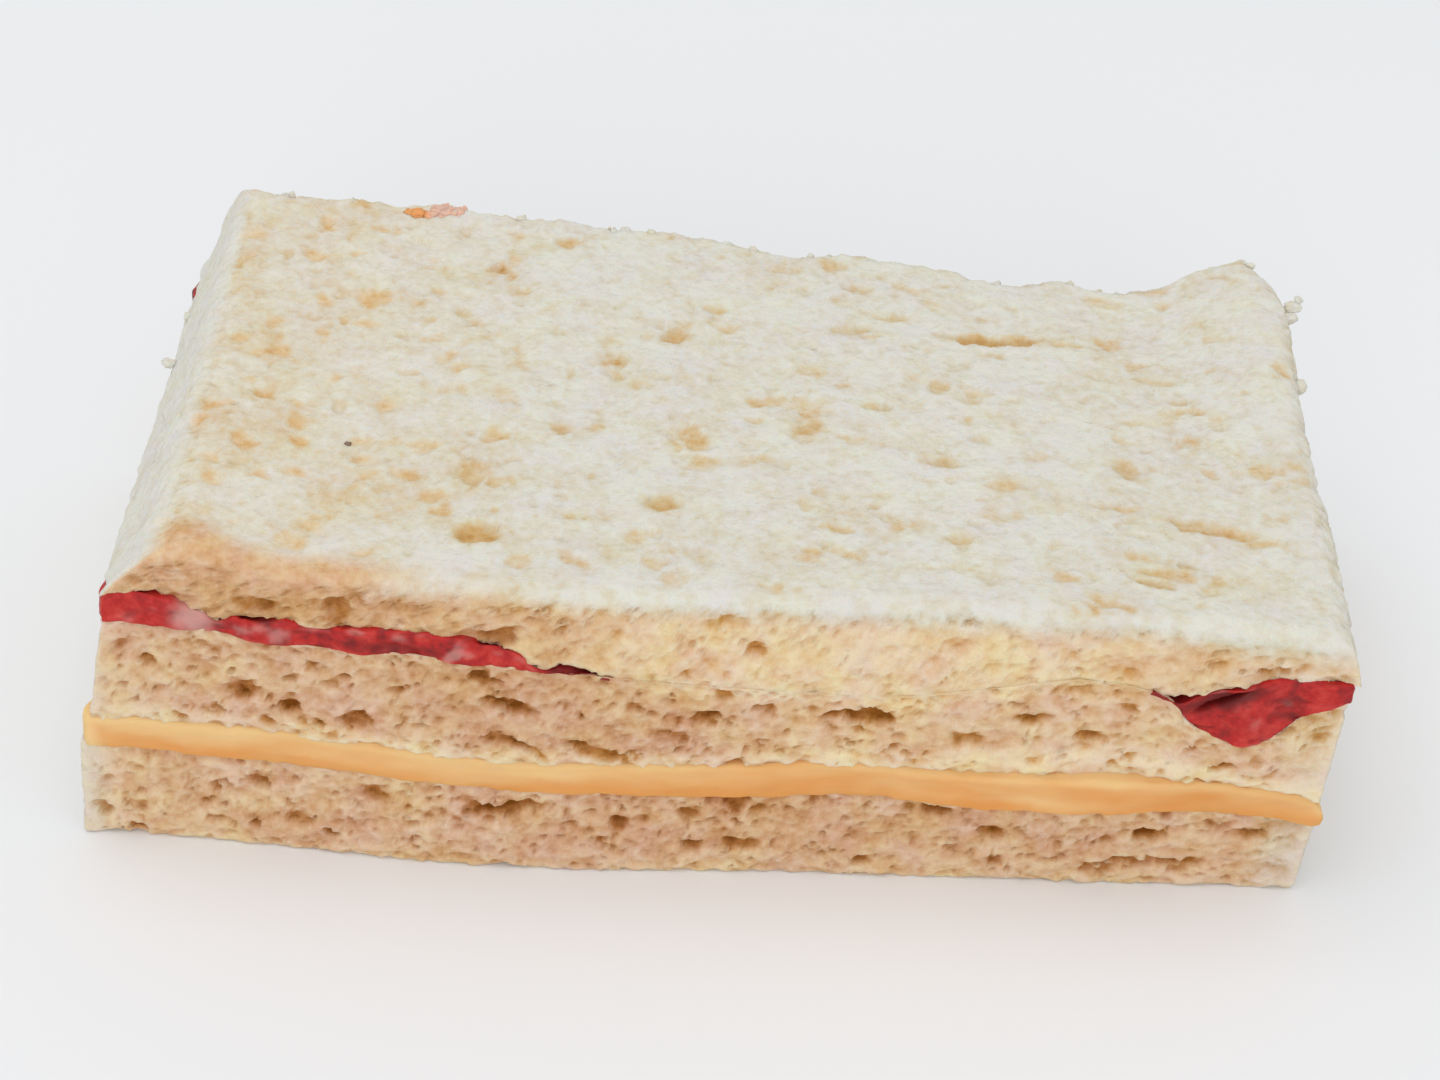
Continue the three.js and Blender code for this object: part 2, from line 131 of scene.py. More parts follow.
@dataclass(frozen=True)
class Form:
    """Outlines and heights that all the layers share, as the solids have them.

    Each curve gives a height, a thickness or a shift along Y for a place along X. Each thin spot of
    the flat salami's front edge is its place along X, its width and its depth.
    """

    front: float = -26.0
    back: float = 28.5
    straight_height: float = 56.0
    overlap: float = 0.3
    salami_radius: float = 44.0
    salami_centre: Span = (-41.3, 1.0)
    salami_taper: float = 7.0
    bread_margin: float = 1.2
    fold_margin: float = 0.3
    thin_reach: Span = (-17.0, -24.0)
    bow: Curve = Curve(((-53, -0.9), (-44, -1.0), (-20, -2.6), (8, -1.2), (34, -0.3), (52, 0.4)))
    torn_edge: Curve = Curve((
        (-47, 0.5), (-28, 0.1), (-4, -0.2), (5.5, -1.7), (11, -0.4), (20, -0.9),
        (26, -2.4), (31, -1.2), (36, -2.0), (41, -1.6), (45, 0.1), (50, 0.6),
    ))
    cheese_underside_front: Curve = Curve((
        (-53, 9.8), (-32, 9.5), (-20, 8.9), (-4, 8.4), (12, 9.2), (24, 8.6), (34, 8.8), (42, 8.8), (52, 7.7),
    ))
    cheese_underside_back: Curve = Curve(((-53, 9.3), (-20, 9.6), (8, 8.9), (30, 9.3), (52, 9.0)))
    cheese_front: Curve = Curve((
        (-53, 3.1), (-34, 3.1), (-20, 2.9), (4, 3.4), (22, 3.3), (33, 3.7), (41, 3.1), (52, 2.8),
    ))
    cheese_back: Curve = Curve(((-53, 3.1), (0, 3.0), (52, 3.1)))
    middle_front: Curve = Curve((
        (-52, 22.9), (-44, 22.6), (-36, 21.7), (-26, 21.7), (-18, 21.2), (-10, 20.5), (0, 19.8),
        (14, 19.5), (22, 20.8), (30, 22.2), (36, 21.2), (38, 20.0), (39, 18.2), (41.5, 17.0),
        (44, 16.3), (46.4, 16.9), (49, 19.8), (52, 21.2),
    ))
    middle_back: Curve = Curve((
        (-52, 21.3), (-20, 21.7), (4, 21.1), (20, 21.5), (34, 20.9), (44, 19.3), (52, 20.5),
    ))
    top_front: Curve = Curve((
        (-50, 30.7), (-44, 30.2), (-36, 29.2), (-12, 28.8), (30, 28.9), (44, 28.0), (52, 27.2),
    ))
    top_back: Curve = Curve((
        (-48, 33.0), (-18, 31.9), (0, 31.1), (12, 30.2), (28, 29.3), (39, 29.4), (49, 32.2),
    ))
    flat_front: Curve = Curve((
        (-52, 2.4), (-49, 3.3), (-46.5, 3.5), (-43.5, 2.5), (-40, 2.3), (-37, 2.9), (-34, 2.6),
        (-24.5, 2.7), (-22, 2.6), (-19, 2.5), (-16.5, 2.1), (-12, 1.8), (-8, 2.0),
    ))
    flat_back: Curve = Curve(((-52, 2.0), (-38, 2.4), (-24, 2.3), (-8, 2.4)))
    folded_front: Curve = Curve((
        (33, 0), (35.5, 0.4), (38, 1.0), (39, 2.9), (41.5, 5.2), (44, 6.5), (46.4, 6.8),
        (49, 3.8), (52, 2.3),
    ))
    folded_back: Curve = Curve((
        (33, 0), (35, 0.5), (38, 1.0), (40.5, 3.0), (44, 4.6), (48, 4.0), (52, 2.6),
    ))
    thin_spots: Rows = ((-41.4, 0.9, 0.9), (-14.9, 1.5, 1.3))

    def blend(self, at_front: Curve, at_back: Curve, x: Array, y: Array) -> Array:
        """Return the height that goes evenly from one curve at the front cut to one at the back."""
        share = np.clip((y - self.front) / (self.back - self.front), 0.0, 1.0)
        return lerp(at_front(x), at_back(x), share)

    def front_cut(self, x: Array, z: Array) -> Array:
        """Return where the front cut stands along Y, bowed less the higher up."""
        return self.front + self.bow(x) * (1 - z / self.straight_height)

    def cheese_underside(self, x: Array, y: Array) -> Array:
        """Return the height of the underside of the cheese."""
        return self.blend(self.cheese_underside_front, self.cheese_underside_back, x, y)

    def cheese_top(self, x: Array, y: Array) -> Array:
        """Return the height of the top of the cheese."""
        return self.cheese_underside(x, y) + self.blend(self.cheese_front, self.cheese_back, x, y)

    def middle_top(self, x: Array, y: Array) -> Array:
        """Return the height of the top of the middle slice."""
        return self.blend(self.middle_front, self.middle_back, x, y)

    def top_surface(self, x: Array, y: Array) -> Array:
        """Return the height of the top of the sandwich."""
        return self.blend(self.top_front, self.top_back, x, y)

    def flat_salami(self, x: Array, y: Array, margin: float = 0.0) -> Array:
        """Work out how thick the flat salami slice is, which thins out towards its round edge.

        Args:
            x: places along X.
            y: places along Y.
            margin: how far the round edge is pushed out.

        Returns:
            The thickness, 0 outside the round edge.
        """
        inside = self.salami_radius + margin - np.hypot(x - self.salami_centre[0], y - self.salami_centre[1])
        body = self.blend(self.flat_front, self.flat_back, x, y)
        near_cut = smoothstep(y, *self.thin_reach)
        for place, width, depth in self.thin_spots:
            body = body - depth * near_cut * bump(x, place, width)
        return body * smoothstep(inside, 0, self.salami_taper)

    def folded_salami(self, x: Array, y: Array) -> Array:
        """Return the thickness of the folded salami slice."""
        return self.blend(self.folded_front, self.folded_back, x, y)

    def top_underside(self, x: Array, y: Array) -> Array:
        """Work out the underside of the top slice, which sinks a little into the salami.

        Args:
            x: places along X.
            y: places along Y.

        Returns:
            The height of the underside.
        """
        flat = self.flat_salami(x, y, self.bread_margin)
        folded = np.maximum(self.folded_salami(x, y), self.folded_salami(x + self.fold_margin, y))
        return self.middle_top(x, y) + np.maximum(flat + folded - self.overlap, 0.0)


def lattice_values(cells: Array, seed: int) -> Array:
    """Give each lattice cell its own repeatable value.

    The cell's three whole numbers are multiplied by large odd numbers, joined by exclusive or with
    the seed, and mixed by two rounds of shifting and multiplying.

    Args:
        cells: whole numbers, one row of three for each cell.
        seed: picks one of many independent sets of values.

    Returns:
        A value from 0 to 1 for each row.
    """
    c = (cells.astype(np.int64) & (WORD - 1)).astype(np.uint32)
    h = c[:, 0] * np.uint32(0x8DA6B343)
    h ^= c[:, 1] * np.uint32(0xD8163841)
    h ^= c[:, 2] * np.uint32(0xCB1AB31F)
    h ^= np.uint32((seed * 0x165667B1) & (WORD - 1))
    h ^= h >> np.uint32(15)
    h *= np.uint32(0x2C1B3C6D)
    h ^= h >> np.uint32(12)
    h *= np.uint32(0x297A2D39)
    h ^= h >> np.uint32(15)
    return h / float(WORD - 1)


def smooth_noise(points: Array, size: float, seed: int) -> Array:
    """Return even random swells about size across, from -1 to 1.

    Each point takes the values of the eight lattice corners round it, weighted by S-shaped
    shares of its place between them. The lattice is turned, so that no face lies along it.

    Args:
        points: places in millimetres, one row each.
        size: spacing of the lattice in millimetres.
        seed: picks the set of values.

    Returns:
        The swell at each point.
    """
    scaled = points @ SKEW / size
    cell = np.floor(scaled)
    part = scaled - cell
    share = part * part * (3 - 2 * part)
    total = np.zeros(len(points))
    for corner in np.ndindex(2, 2, 2):
        weight = np.prod(np.where(corner, share, 1 - share), axis=1)
        total += weight * lattice_values(cell + corner, seed)
    return 2 * total - 1


def layered_noise(points: Array, size: float, seed: int, layers: int = 3) -> Array:
    """Add up swells of several sizes, each half as wide and half as strong as the last.

    Args:
        points: places in millimetres, one row each.
        size: spacing of the widest lattice in millimetres.
        seed: picks the set of values of the widest, and the next numbers those of the others.
        layers: how many sizes there are.

    Returns:
        The swell at each point, from -1 to 1.
    """
    total = np.zeros(len(points))
    for n in range(layers):
        total += smooth_noise(points, size / 2**n, seed + n) / 2**n
    return total / (2 - 0.5 ** (layers - 1))


def noise_columns(points: Array, size: float, seeds: Sequence[int], layers: int = 3) -> Array:
    """Return one swell for each seed, side by side as the columns of a vector for each point."""
    return np.stack([layered_noise(points, size, seed, layers) for seed in seeds], axis=1)


def exit_distance(offset: Array, inward: Array) -> tuple[Array, Array]:
    """Find how far a point inside a unit ball is from the ball's far wall along a direction.

    It is the larger root t of |offset + t * inward| = 1.

    Args:
        offset: points relative to the ball's centre, in half sizes of the ball.
        inward: directions in the same units, one for each point.

    Returns:
        The distance, or 0 outside the ball, and how deep inside the ball the point is from 0 to 1.
    """
    a = np.maximum(np.einsum("ij,ij->i", inward, inward), 1e-12)
    b = np.einsum("ij,ij->i", offset, inward)
    inside = 1 - np.einsum("ij,ij->i", offset, offset)
    root = np.sqrt(np.maximum(b * b + a * inside, 0.0))
    return np.where(inside > 0, (root - b) / a, 0.0), np.clip(inside, 0.0, 1.0)


@dataclass(frozen=True)
class Hollow:
    """One wide pore: a turned, stretched ball that a face cuts open.

    Its middle and half sizes are in millimetres. It is turned about the upright and tilted, in
    radians, and only a share of its depth is used. It is looked for a little past its own reach,
    because its outline is roughened, and it grows shallow towards its rim.
    """

    at: Triple
    half: Triple
    turn: float = 0.0
    tilt: float = 0.0
    share: float = 1.0
    search: float = 1.3
    soft_rim: float = 0.8

    def depth(self, points: Array, inward: Array, ragged: Array) -> Array:
        """Return how far each point sinks along its inward direction to the pore's far wall.

        Args:
            points: places on the cut, in millimetres.
            inward: unit directions into the bread.
            ragged: how far each point's view of the pore is shifted, to roughen its outline.

        Returns:
            The depth in millimetres, 0 outside the pore.
        """
        depth = np.zeros(len(points))
        near = np.flatnonzero(np.abs(points - self.at).max(axis=1) < self.search * max(self.half))
        turned = Matrix.Rotation(self.turn, 3, "Z") @ Matrix.Rotation(self.tilt, 3, "Y")
        axes = np.array(turned.transposed())
        offset = (points[near] + ragged[near] - self.at) @ axes.T / self.half
        found, inside = exit_distance(offset, inward[near] @ axes.T / self.half)
        depth[near] = self.share * found * smoothstep(inside, 0.0, self.soft_rim)
        return depth


@dataclass(frozen=True)
class Foam:
    """Gas bubbles of one size through the whole crumb, of which each cut shows a section.

    The radius runs from a least to a greatest share of the lattice's spacing, and a chance of the
    cells hold a bubble.
    """

    spacing: float
    radius: Span
    chance: float
    seed: int
    soft_rim: float = 0.9

    def openings(self, points: Array, inward: Array) -> tuple[Array, Array]:
        """Find the deepest bubble that each point of a cut opens into.

        Each cell of a lattice holds one ball, put off its centre by a draw, and a point looks at the
        balls of the 27 cells round it.

        Args:
            points: places in the crumb's own stretched space, in millimetres.
            inward: directions into the bread in that space, not of unit length.

        Returns:
            The depth in real millimetres, 0 where a point lies in no bubble, and how far inside the
            bubble the point lies, from 0 at its wall to 1 at its centre.
        """
        home = np.floor(points / self.spacing)
        deepest = np.zeros(len(points))
        innermost = np.zeros(len(points))
        for step in np.ndindex(3, 3, 3):
            cell = home + (np.array(step) - 1)
            values = [lattice_values(cell, self.seed + n) for n in range(5)]
            part = CELL_MARGIN + (1 - 2 * CELL_MARGIN) * np.stack(values[:3], axis=1)
            centre = (cell + part) * self.spacing
            radius = self.spacing * lerp(self.radius[0], self.radius[1], values[3] ** 2)
            found, inside = exit_distance((points - centre) / radius[:, None], inward / radius[:, None])
            kept = values[4] < self.chance
            deepest = np.maximum(deepest, kept * found * smoothstep(inside, 0.0, self.soft_rim))
            innermost = np.maximum(innermost, kept * inside)
        return deepest, innermost


def draws(seed: int) -> Iterator[float]:
    """Yield the same run of values that the solids' pores are placed by.

    Each whole number is the last times 1664525 plus 1013904223, less what is over 32 bits.

    Args:
        seed: the number before the first.

    Returns:
        An endless run of values from 0 to 1.
    """
    state = seed
    while True:
        state = (state * 1664525 + 1013904223) % WORD
        yield state / WORD


@dataclass(frozen=True)
class Drawn:
    """A pore as it is drawn: its two shares of a face, its radius, its stretch and its turn."""

    u: float
    v: float
    radius: float
    stretch: float
    turn: float


@dataclass(frozen=True)
class Scatter:
    """Pores that the solids have too, at most one in each patch of a loose grid over a face."""

    seed: int
    across: int
    along: int
    chance: float
    size: Span
    stretch: float = 0.9
    turn: float = 1.2

    def hollows(self, place: Callable[[Drawn], Hollow]) -> list[Hollow]:
        """Draw the pores of one face.

        Args:
            place: puts a drawn pore on its face.

        Returns:
            The pores that the draw keeps.
        """
        draw = draws(self.seed)
        kept = []
        for i, j in np.ndindex(self.across, self.along):
            u = (i + CELL_MARGIN + (1 - 2 * CELL_MARGIN) * next(draw)) / self.across
            v = (j + CELL_MARGIN + (1 - 2 * CELL_MARGIN) * next(draw)) / self.along
            radius = lerp(self.size[0], self.size[1], next(draw) ** 2)
            stretch = 1 + self.stretch * next(draw)
            turn = (next(draw) - 0.5) * self.turn
            if next(draw) < self.chance:
                kept.append(place(Drawn(u, v, radius, stretch, turn)))
        return kept


@dataclass(frozen=True)
class Shell:
    """Cells of a closed box: fine on the sides that show, and coarse on the hidden ones.

    A coarse cell at the rim of its side takes all the fine corners along that rim, so that the
    surface stays closed.
    """

    cells: tuple[int, int, int]
    hidden: tuple[Side, ...] = (Side.HEAD, Side.FOOT)
    step: int = 8

    def key(self, i: Array, j: Array, k: Array) -> Array:
        """Return one whole number for each lattice corner."""
        _, ny, nz = self.cells
        return (np.asarray(i) * (ny + 1) + j) * (nz + 1) + k

    def fine(self, side: Side) -> Array:
        """List the fine cells of a side.

        Args:
            side: which side of the box.

        Returns:
            The keys of each cell's four corners, turned so that the cell faces outwards.
        """
        axis, end = side.value
        first, second = (n for n in range(3) if n != axis)
        a, b = np.meshgrid(np.arange(self.cells[first]), np.arange(self.cells[second]), indexing="ij")
        ring = []
        for p, q in ((0, 0), (1, 0), (1, 1), (0, 1)):
            corner = {axis: np.full_like(a, end * self.cells[axis]), first: a + p, second: b + q}
            ring.append(self.key(corner[0], corner[1], corner[2]).ravel())
        corners = np.stack(ring, axis=1)
        return corners[:, ::-1] if side in (Side.FOOT, Side.BACK, Side.LEFT) else corners

    def coarse(self, side: Side) -> list[Array]:
        """List the coarse cells of the head or the foot.

        Args:
            side: which of the two.

        Returns:
            One array for each cell, with the keys of its corners in turn round it.
        """
        nx, ny, nz = self.cells
        k = nz if side is Side.HEAD else 0
        along = np.arange(self.step)
        found = []
        for i, j in np.ndindex(nx // self.step, ny // self.step):
            i, j = i * self.step, j * self.step
            far_i, far_j = i + self.step, j + self.step
            near_row = along if j == 0 else along[:1]
            far_row = along if far_j == ny else along[:1]
            near_column = along if i == 0 else along[:1]
            far_column = along if far_i == nx else along[:1]
            ring = np.concatenate([
                self.key(i + near_row, j, k),
                self.key(far_i, j + far_column, k),
                self.key(far_i - far_row, far_j, k),
                self.key(i, far_j - near_column, k),
            ])
            found.append(ring if side is Side.HEAD else ring[::-1])
        return found

    def build(self) -> tuple[Array, Array, Array, Array]:
        """Make the surface of the box.

        Returns:
            The corners' shares of the box along X, Y and Z, the corner numbers of all the cells in
            one row, how many corners each cell has, and the corner numbers of the fine cells.
        """
        fine = np.concatenate([self.fine(side) for side in Side if side not in self.hidden])
        coarse = [ring for side in self.hidden for ring in self.coarse(side)]
        keys = np.concatenate([fine.ravel(), *coarse])
        used, corners = np.unique(keys, return_inverse=True)
        _, ny, nz = self.cells
        layer = (ny + 1) * (nz + 1)
        lattice = np.stack([used // layer, used // (nz + 1) % (ny + 1), used % (nz + 1)], axis=1)
        sizes = np.concatenate([np.full(len(fine), 4), [len(ring) for ring in coarse]]).astype(int)
        return lattice / self.cells, corners, sizes, corners[: fine.size].reshape(-1, 4)


def outward_directions(points: Array, cells: Array) -> Array:
    """Work out which way is out of the surface at each corner.

    The directions of the cells round a corner, each the cross product of the cell's diagonals, are
    added up and brought to length 1.

    Args:
        points: corner places.
        cells: the four corner numbers of each cell.

    Returns:
        A unit direction for each corner, or nothing where no cell touches it.
    """
    across = points[cells[:, 2]] - points[cells[:, 0]]
    along = points[cells[:, 3]] - points[cells[:, 1]]
    normal = np.cross(across, along)
    total = np.stack(
        [np.bincount(cells.ravel(), np.repeat(normal[:, n], 4), len(points)) for n in range(3)], axis=1
    )
    return total / np.maximum(np.linalg.norm(total, axis=1, keepdims=True), 1e-9)


def make_piece(
    name: str,
    points: Array,
    corners: Array,
    sizes: Array,
    marks: Marks,
    material: bpy.types.Material,
    slot: str,
    nodes: Sequence[str] = (),
) -> bpy.types.Object:
    """Put a surface into the scene, on the sandwich's body, in place of the solids that it stands for.

    Args:
        name: the piece's name.
        points: corner places in millimetres.
        corners: corner numbers of all the cells in one row.
        sizes: how many corners each cell has.
        marks: named values for each corner, which the material reads.
        material: the piece's finish.
        slot: not used.
        nodes: the solids that the piece stands for.

    Returns:
        The piece, at the origin, riding on the sandwich's one body.
    """
    mesh = bpy.data.meshes.new(name)
    mesh.vertices.add(len(points))
    mesh.loops.add(len(corners))
    mesh.polygons.add(len(sizes))
    mesh.vertices.foreach_set("co", (points * MM).astype(np.float32).ravel())
    mesh.loops.foreach_set("vertex_index", corners.astype(np.int32))
    starts = np.concatenate([[0], np.cumsum(sizes)[:-1]])
    mesh.polygons.foreach_set("loop_start", starts.astype(np.int32))
    mesh.update(calc_edges=True)
    mesh.validate()
    mesh.polygons.foreach_set("use_smooth", np.ones(len(mesh.polygons), bool))
    for mark, values in marks.items():
        attribute = mesh.attributes.new(mark, "FLOAT", "POINT")
        attribute.data.foreach_set("value", values.astype(np.float32))
    mesh.materials.append(material)
    piece = bpy.data.objects.new(name, mesh)
    bpy.context.scene.collection.objects.link(piece)
    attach(piece, BODY)
    if nodes:
        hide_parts(*nodes)
    return piece


def linear(hex_colour: str) -> tuple[float, float, float, float]:
    """Turn a colour as screens count it into one as shaders count it.

    Args:
        hex_colour: an sRGB colour, as # and six hex digits.

    Returns:
        The linear red, green and blue, and full opacity.
    """
    levels = [int(hex_colour[n : n + 2], 16) / 255 for n in (1, 3, 5)]
    rgb = [c / 12.92 if c <= 0.04045 else ((c + 0.055) / 1.055) ** 2.4 for c in levels]
    return (rgb[0], rgb[1], rgb[2], 1.0)


def add_node(
    tree: bpy.types.NodeTree,
    kind: str,
    settings: dict[str, object] | None = None,
    inputs: dict[str | int, object] | None = None,
    stops: Stops = (),
) -> bpy.types.Node:
    """Add one shader node with its settings and links.

    Args:
        tree: the material's node tree.
        kind: Blender's name for the node.
        settings: properties of the node itself.
        inputs: for each input, by name or place, either the socket to link or the value to set.
        stops: the places and sRGB hex colours of a colour ramp.

    Returns:
        The node.
    """
    node = tree.nodes.new(kind)
    for name, value in (settings or {}).items():
        setattr(node, name, value)
    for name, value in (inputs or {}).items():
        if isinstance(value, bpy.types.NodeSocket):
            tree.links.new(value, node.inputs[name])
        else:
            node.inputs[name].default_value = value
    for n, (place, colour) in enumerate(stops):
        elements = node.color_ramp.elements
        element = elements[n] if n < len(elements) else elements.new(place)
        element.position = place
        element.color = linear(colour)
    return node


@dataclass(frozen=True)
class Finish:
    """A surface of one real material: how dull it is, and how far light spreads inside it."""

    name: str
    roughness: float = 0.6
    specular: float = 0.2
    soft_weight: float = 0.0
    soft_radius: Triple = (1.0, 0.5, 0.3)
    soft_mm: float = 1.0

    def looks(self, tree: bpy.types.NodeTree) -> dict[str, object]:
        """Return the shader's colour, and its relief where it has one."""
        raise NotImplementedError

    def material(self) -> bpy.types.Material:
        """Make the finish.

        Returns:
            A node material with one shader.
        """
        material = bpy.data.materials.new(self.name)
        material.use_nodes = True
        tree = material.node_tree
        tree.nodes.clear()
        shader = add_node(tree, "ShaderNodeBsdfPrincipled", {}, {
            **self.looks(tree),
            "Roughness": self.roughness,
            "Specular IOR Level": self.specular,
            "Subsurface Weight": self.soft_weight,
            "Subsurface Radius": self.soft_radius,
            "Subsurface Scale": self.soft_mm * MM,
        })
        add_node(tree, "ShaderNodeOutputMaterial", {}, {"Surface": shader.outputs["BSDF"]})
        return material


@dataclass(frozen=True)
class PlainFinish(Finish):
    """A dull surface of one colour, for what is too small or too plain to show more."""

    roughness: float = 0.9
    specular: float = 0.1
    colour: str = "#FFFFFF"

    def looks(self, tree: bpy.types.NodeTree) -> dict[str, object]:
        """Return the shader's colour."""
        return {"Base Color": linear(self.colour)}


# A grain of crumb burnt in the oven, which gives the eye one dark greyish brown dot.
BURNT_GRAIN = PlainFinish("grain_burnt", colour="#8A7563")

# Painted board for the floor, which gives the eye an even, nearly white ground.
PALE_BOARD = PlainFinish("painted_board_matt", colour="#EEF0F2")


@dataclass(frozen=True)
class BreadCrumb(Finish):
    """White bread, baked in a tin and sliced.

    To the eye it is a soft foam without any gloss, nearly white on its lit top. Its cut sides and
    the depths of its pores take darker ochre colours, which are painted shade. Its colour wanders
    between yellowish and pinkish, more so on the cut sides.
    """

    name: str = "white_bread_sliced"
    roughness: float = 0.95
    specular: float = 0.1
    soft_weight: float = 0.2
    soft_radius: Triple = (1.0, 0.6, 0.35)
    soft_mm: float = 1.5
    # The lit top's colours and the cut sides' darker, warmer ones are lit and shaded copies of one crumb:
    # painted shade.
    lit_top_stops: Stops = (
        (0.0, "#DDDDD7"), (0.25, "#D7D2C2"), (0.5, "#D4C2A0"), (0.75, "#CDAB78"), (1.0, "#B58749"),
    )
    shaded_cut_stops: Stops = ((0.0, "#E2CAB0"), (0.35, "#D2AA86"), (0.7, "#B47D49"), (1.0, "#86501A"))
    cream_stops: Stops = ((0.0, "#EEE1C6"), (0.35, "#E8CDA6"), (0.7, "#D9A765"), (1.0, "#B07833"))
    tint_stops: Stops = ((0.35, "#FFFCE6"), (0.65, "#FBF1F2"))
    top_tint: float = 0.4
    mottle_mm: float = 4.5
    mottle_share: float = 0.6
    speckle_mm: float = 1.3
    speckle_share: float = 0.7
    noise_middle: float = 0.47
    jitter_mm: float = 1.5
    cell_mm: float = 0.75
    cell_share: float = -0.2
    cell_middle: float = 0.5
    bump_mm: float = 0.2

    def looks(self, tree: bpy.types.NodeTree) -> dict[str, object]:
        """Lay out the colour and the relief.

        The mark "pore" says how far a corner has sunk into a bubble, and darkens it there as painted
        shade; "cut" is 1 on the cut sides, which take the darker colours of painted shade, and 0 on the
        lit top; and "cream" is 1 where the crumb is yellow, above the cheese partly as painted light
        thrown back from it.

        Args:
            tree: the material's node tree.

        Returns:
            The shader's colour and relief.
        """
        place = add_node(tree, "ShaderNodeTexCoord").outputs["Object"]
        pore, cut, cream = (
            add_node(tree, "ShaderNodeAttribute", {"attribute_name": mark}).outputs["Fac"]
            for mark in ("pore", "cut", "cream")
        )
        mottle, speckle = (
            add_node(tree, "ShaderNodeTexNoise", {}, {
                "Vector": place, "Scale": 1 / (size * MM), "Detail": 3.0, "Roughness": 0.65,
            })
            for size in (self.mottle_mm, self.speckle_mm)
        )
        jitter = add_node(
            tree, "ShaderNodeVectorMath", {"operation": "MULTIPLY_ADD"},
            {0: speckle.outputs["Color"], 1: (self.jitter_mm * MM,) * 3, 2: place},
        ).outputs["Vector"]
        cells = add_node(
            tree, "ShaderNodeTexVoronoi", {}, {"Vector": jitter, "Scale": 1 / (self.cell_mm * MM)},
        ).outputs["Distance"]
        shade = pore
        for value, middle, share in (
            (mottle.outputs["Fac"], self.noise_middle, self.mottle_share),
            (speckle.outputs["Fac"], self.noise_middle, self.speckle_share),
            (cells, self.cell_middle, self.cell_share),
        ):
            centred = add_node(
                tree, "ShaderNodeMath", {"operation": "SUBTRACT"}, {0: value, 1: middle},
            ).outputs[0]
            shade = add_node(
                tree, "ShaderNodeMath", {"operation": "MULTIPLY_ADD"}, {0: centred, 1: share, 2: shade},
            ).outputs[0]
        shade = add_node(
            tree, "ShaderNodeMath", {"operation": "ADD", "use_clamp": True}, {0: shade, 1: 0.0},
        ).outputs[0]
        hue = add_node(
            tree, "ShaderNodeSeparateColor", {}, {"Color": mottle.outputs["Color"]},
        ).outputs["Green"]
        colour, side, yellow, tint = (
            add_node(tree, "ShaderNodeValToRGB", {}, {"Fac": value}, stops).outputs["Color"]
            for value, stops in (
                (shade, self.lit_top_stops),
                (shade, self.shaded_cut_stops),
                (shade, self.cream_stops),
                (hue, self.tint_stops),
            )
        )
        tinted = add_node(
            tree, "ShaderNodeMath", {"operation": "MULTIPLY_ADD"},
            {0: cut, 1: 1 - self.top_tint, 2: self.top_tint},
        ).outputs[0]
        for blend, share, other in (("MIX", cut, side), ("MIX", cream, yellow), ("MULTIPLY", tinted, tint)):
            colour = add_node(
                tree, "ShaderNodeMix", {"data_type": "RGBA", "blend_type": blend},
                {"Factor": share, MIX_A: colour, MIX_B: other},
            ).outputs[MIX_RESULT]
        coarse = add_node(
            tree, "ShaderNodeBump", {},
            {"Strength": 0.6, "Distance": 2 * self.bump_mm * MM, "Height": speckle.outputs["Fac"]},
        ).outputs["Normal"]
        relief = add_node(
            tree, "ShaderNodeBump", {},
            {"Strength": 0.5, "Distance": self.bump_mm * MM, "Height": cells, "Normal": coarse},
        ).outputs["Normal"]
        return {"Base Color": colour, "Normal": relief}


@dataclass(frozen=True)
class ProcessedCheese(Finish):
    """Pale orange processed cheese, pressed smooth and cut.

    To the eye it is waxy and a little cloudy, with a faint sheen, and paler along its upper ledge,
    where the paleness is painted light.
    """

    name: str = "processed_cheese_cut"
    soft_weight: float = 0.3
    soft_radius: Triple = (1.0, 0.55, 0.2)
    soft_mm: float = 2.0
    body: Stops = ((0.0, "#D99149"), (0.5, "#E19B55"), (1.0, "#E7AC6B"))
    # The pale colour is painted light on the upper ledge and in a highlight band, and also pales the left
    # end.
    pale: str = "#EBC48A"
    cloud_mm: float = 6.0

    def looks(self, tree: bpy.types.NodeTree) -> dict[str, object]:
        """Lay out the colour. The mark "pale" is 1 on the upper ledge and less in lighter patches, as
        painted light.

        Args:
            tree: the material's node tree.

        Returns:
            The shader's colour.
        """
        place = add_node(tree, "ShaderNodeTexCoord").outputs["Object"]
        pale = add_node(tree, "ShaderNodeAttribute", {"attribute_name": "pale"}).outputs["Fac"]
        cloud = add_node(
            tree, "ShaderNodeTexNoise", {},
            {"Vector": place, "Scale": 1 / (self.cloud_mm * MM), "Detail": 2.0},
        ).outputs["Fac"]
        body = add_node(tree, "ShaderNodeValToRGB", {}, {"Fac": cloud}, self.body).outputs["Color"]
        colour = add_node(
            tree, "ShaderNodeMix", {"data_type": "RGBA"},
            {"Factor": pale, MIX_A: body, MIX_B: linear(self.pale)},
        ).outputs[MIX_RESULT]
        return {"Base Color": colour}


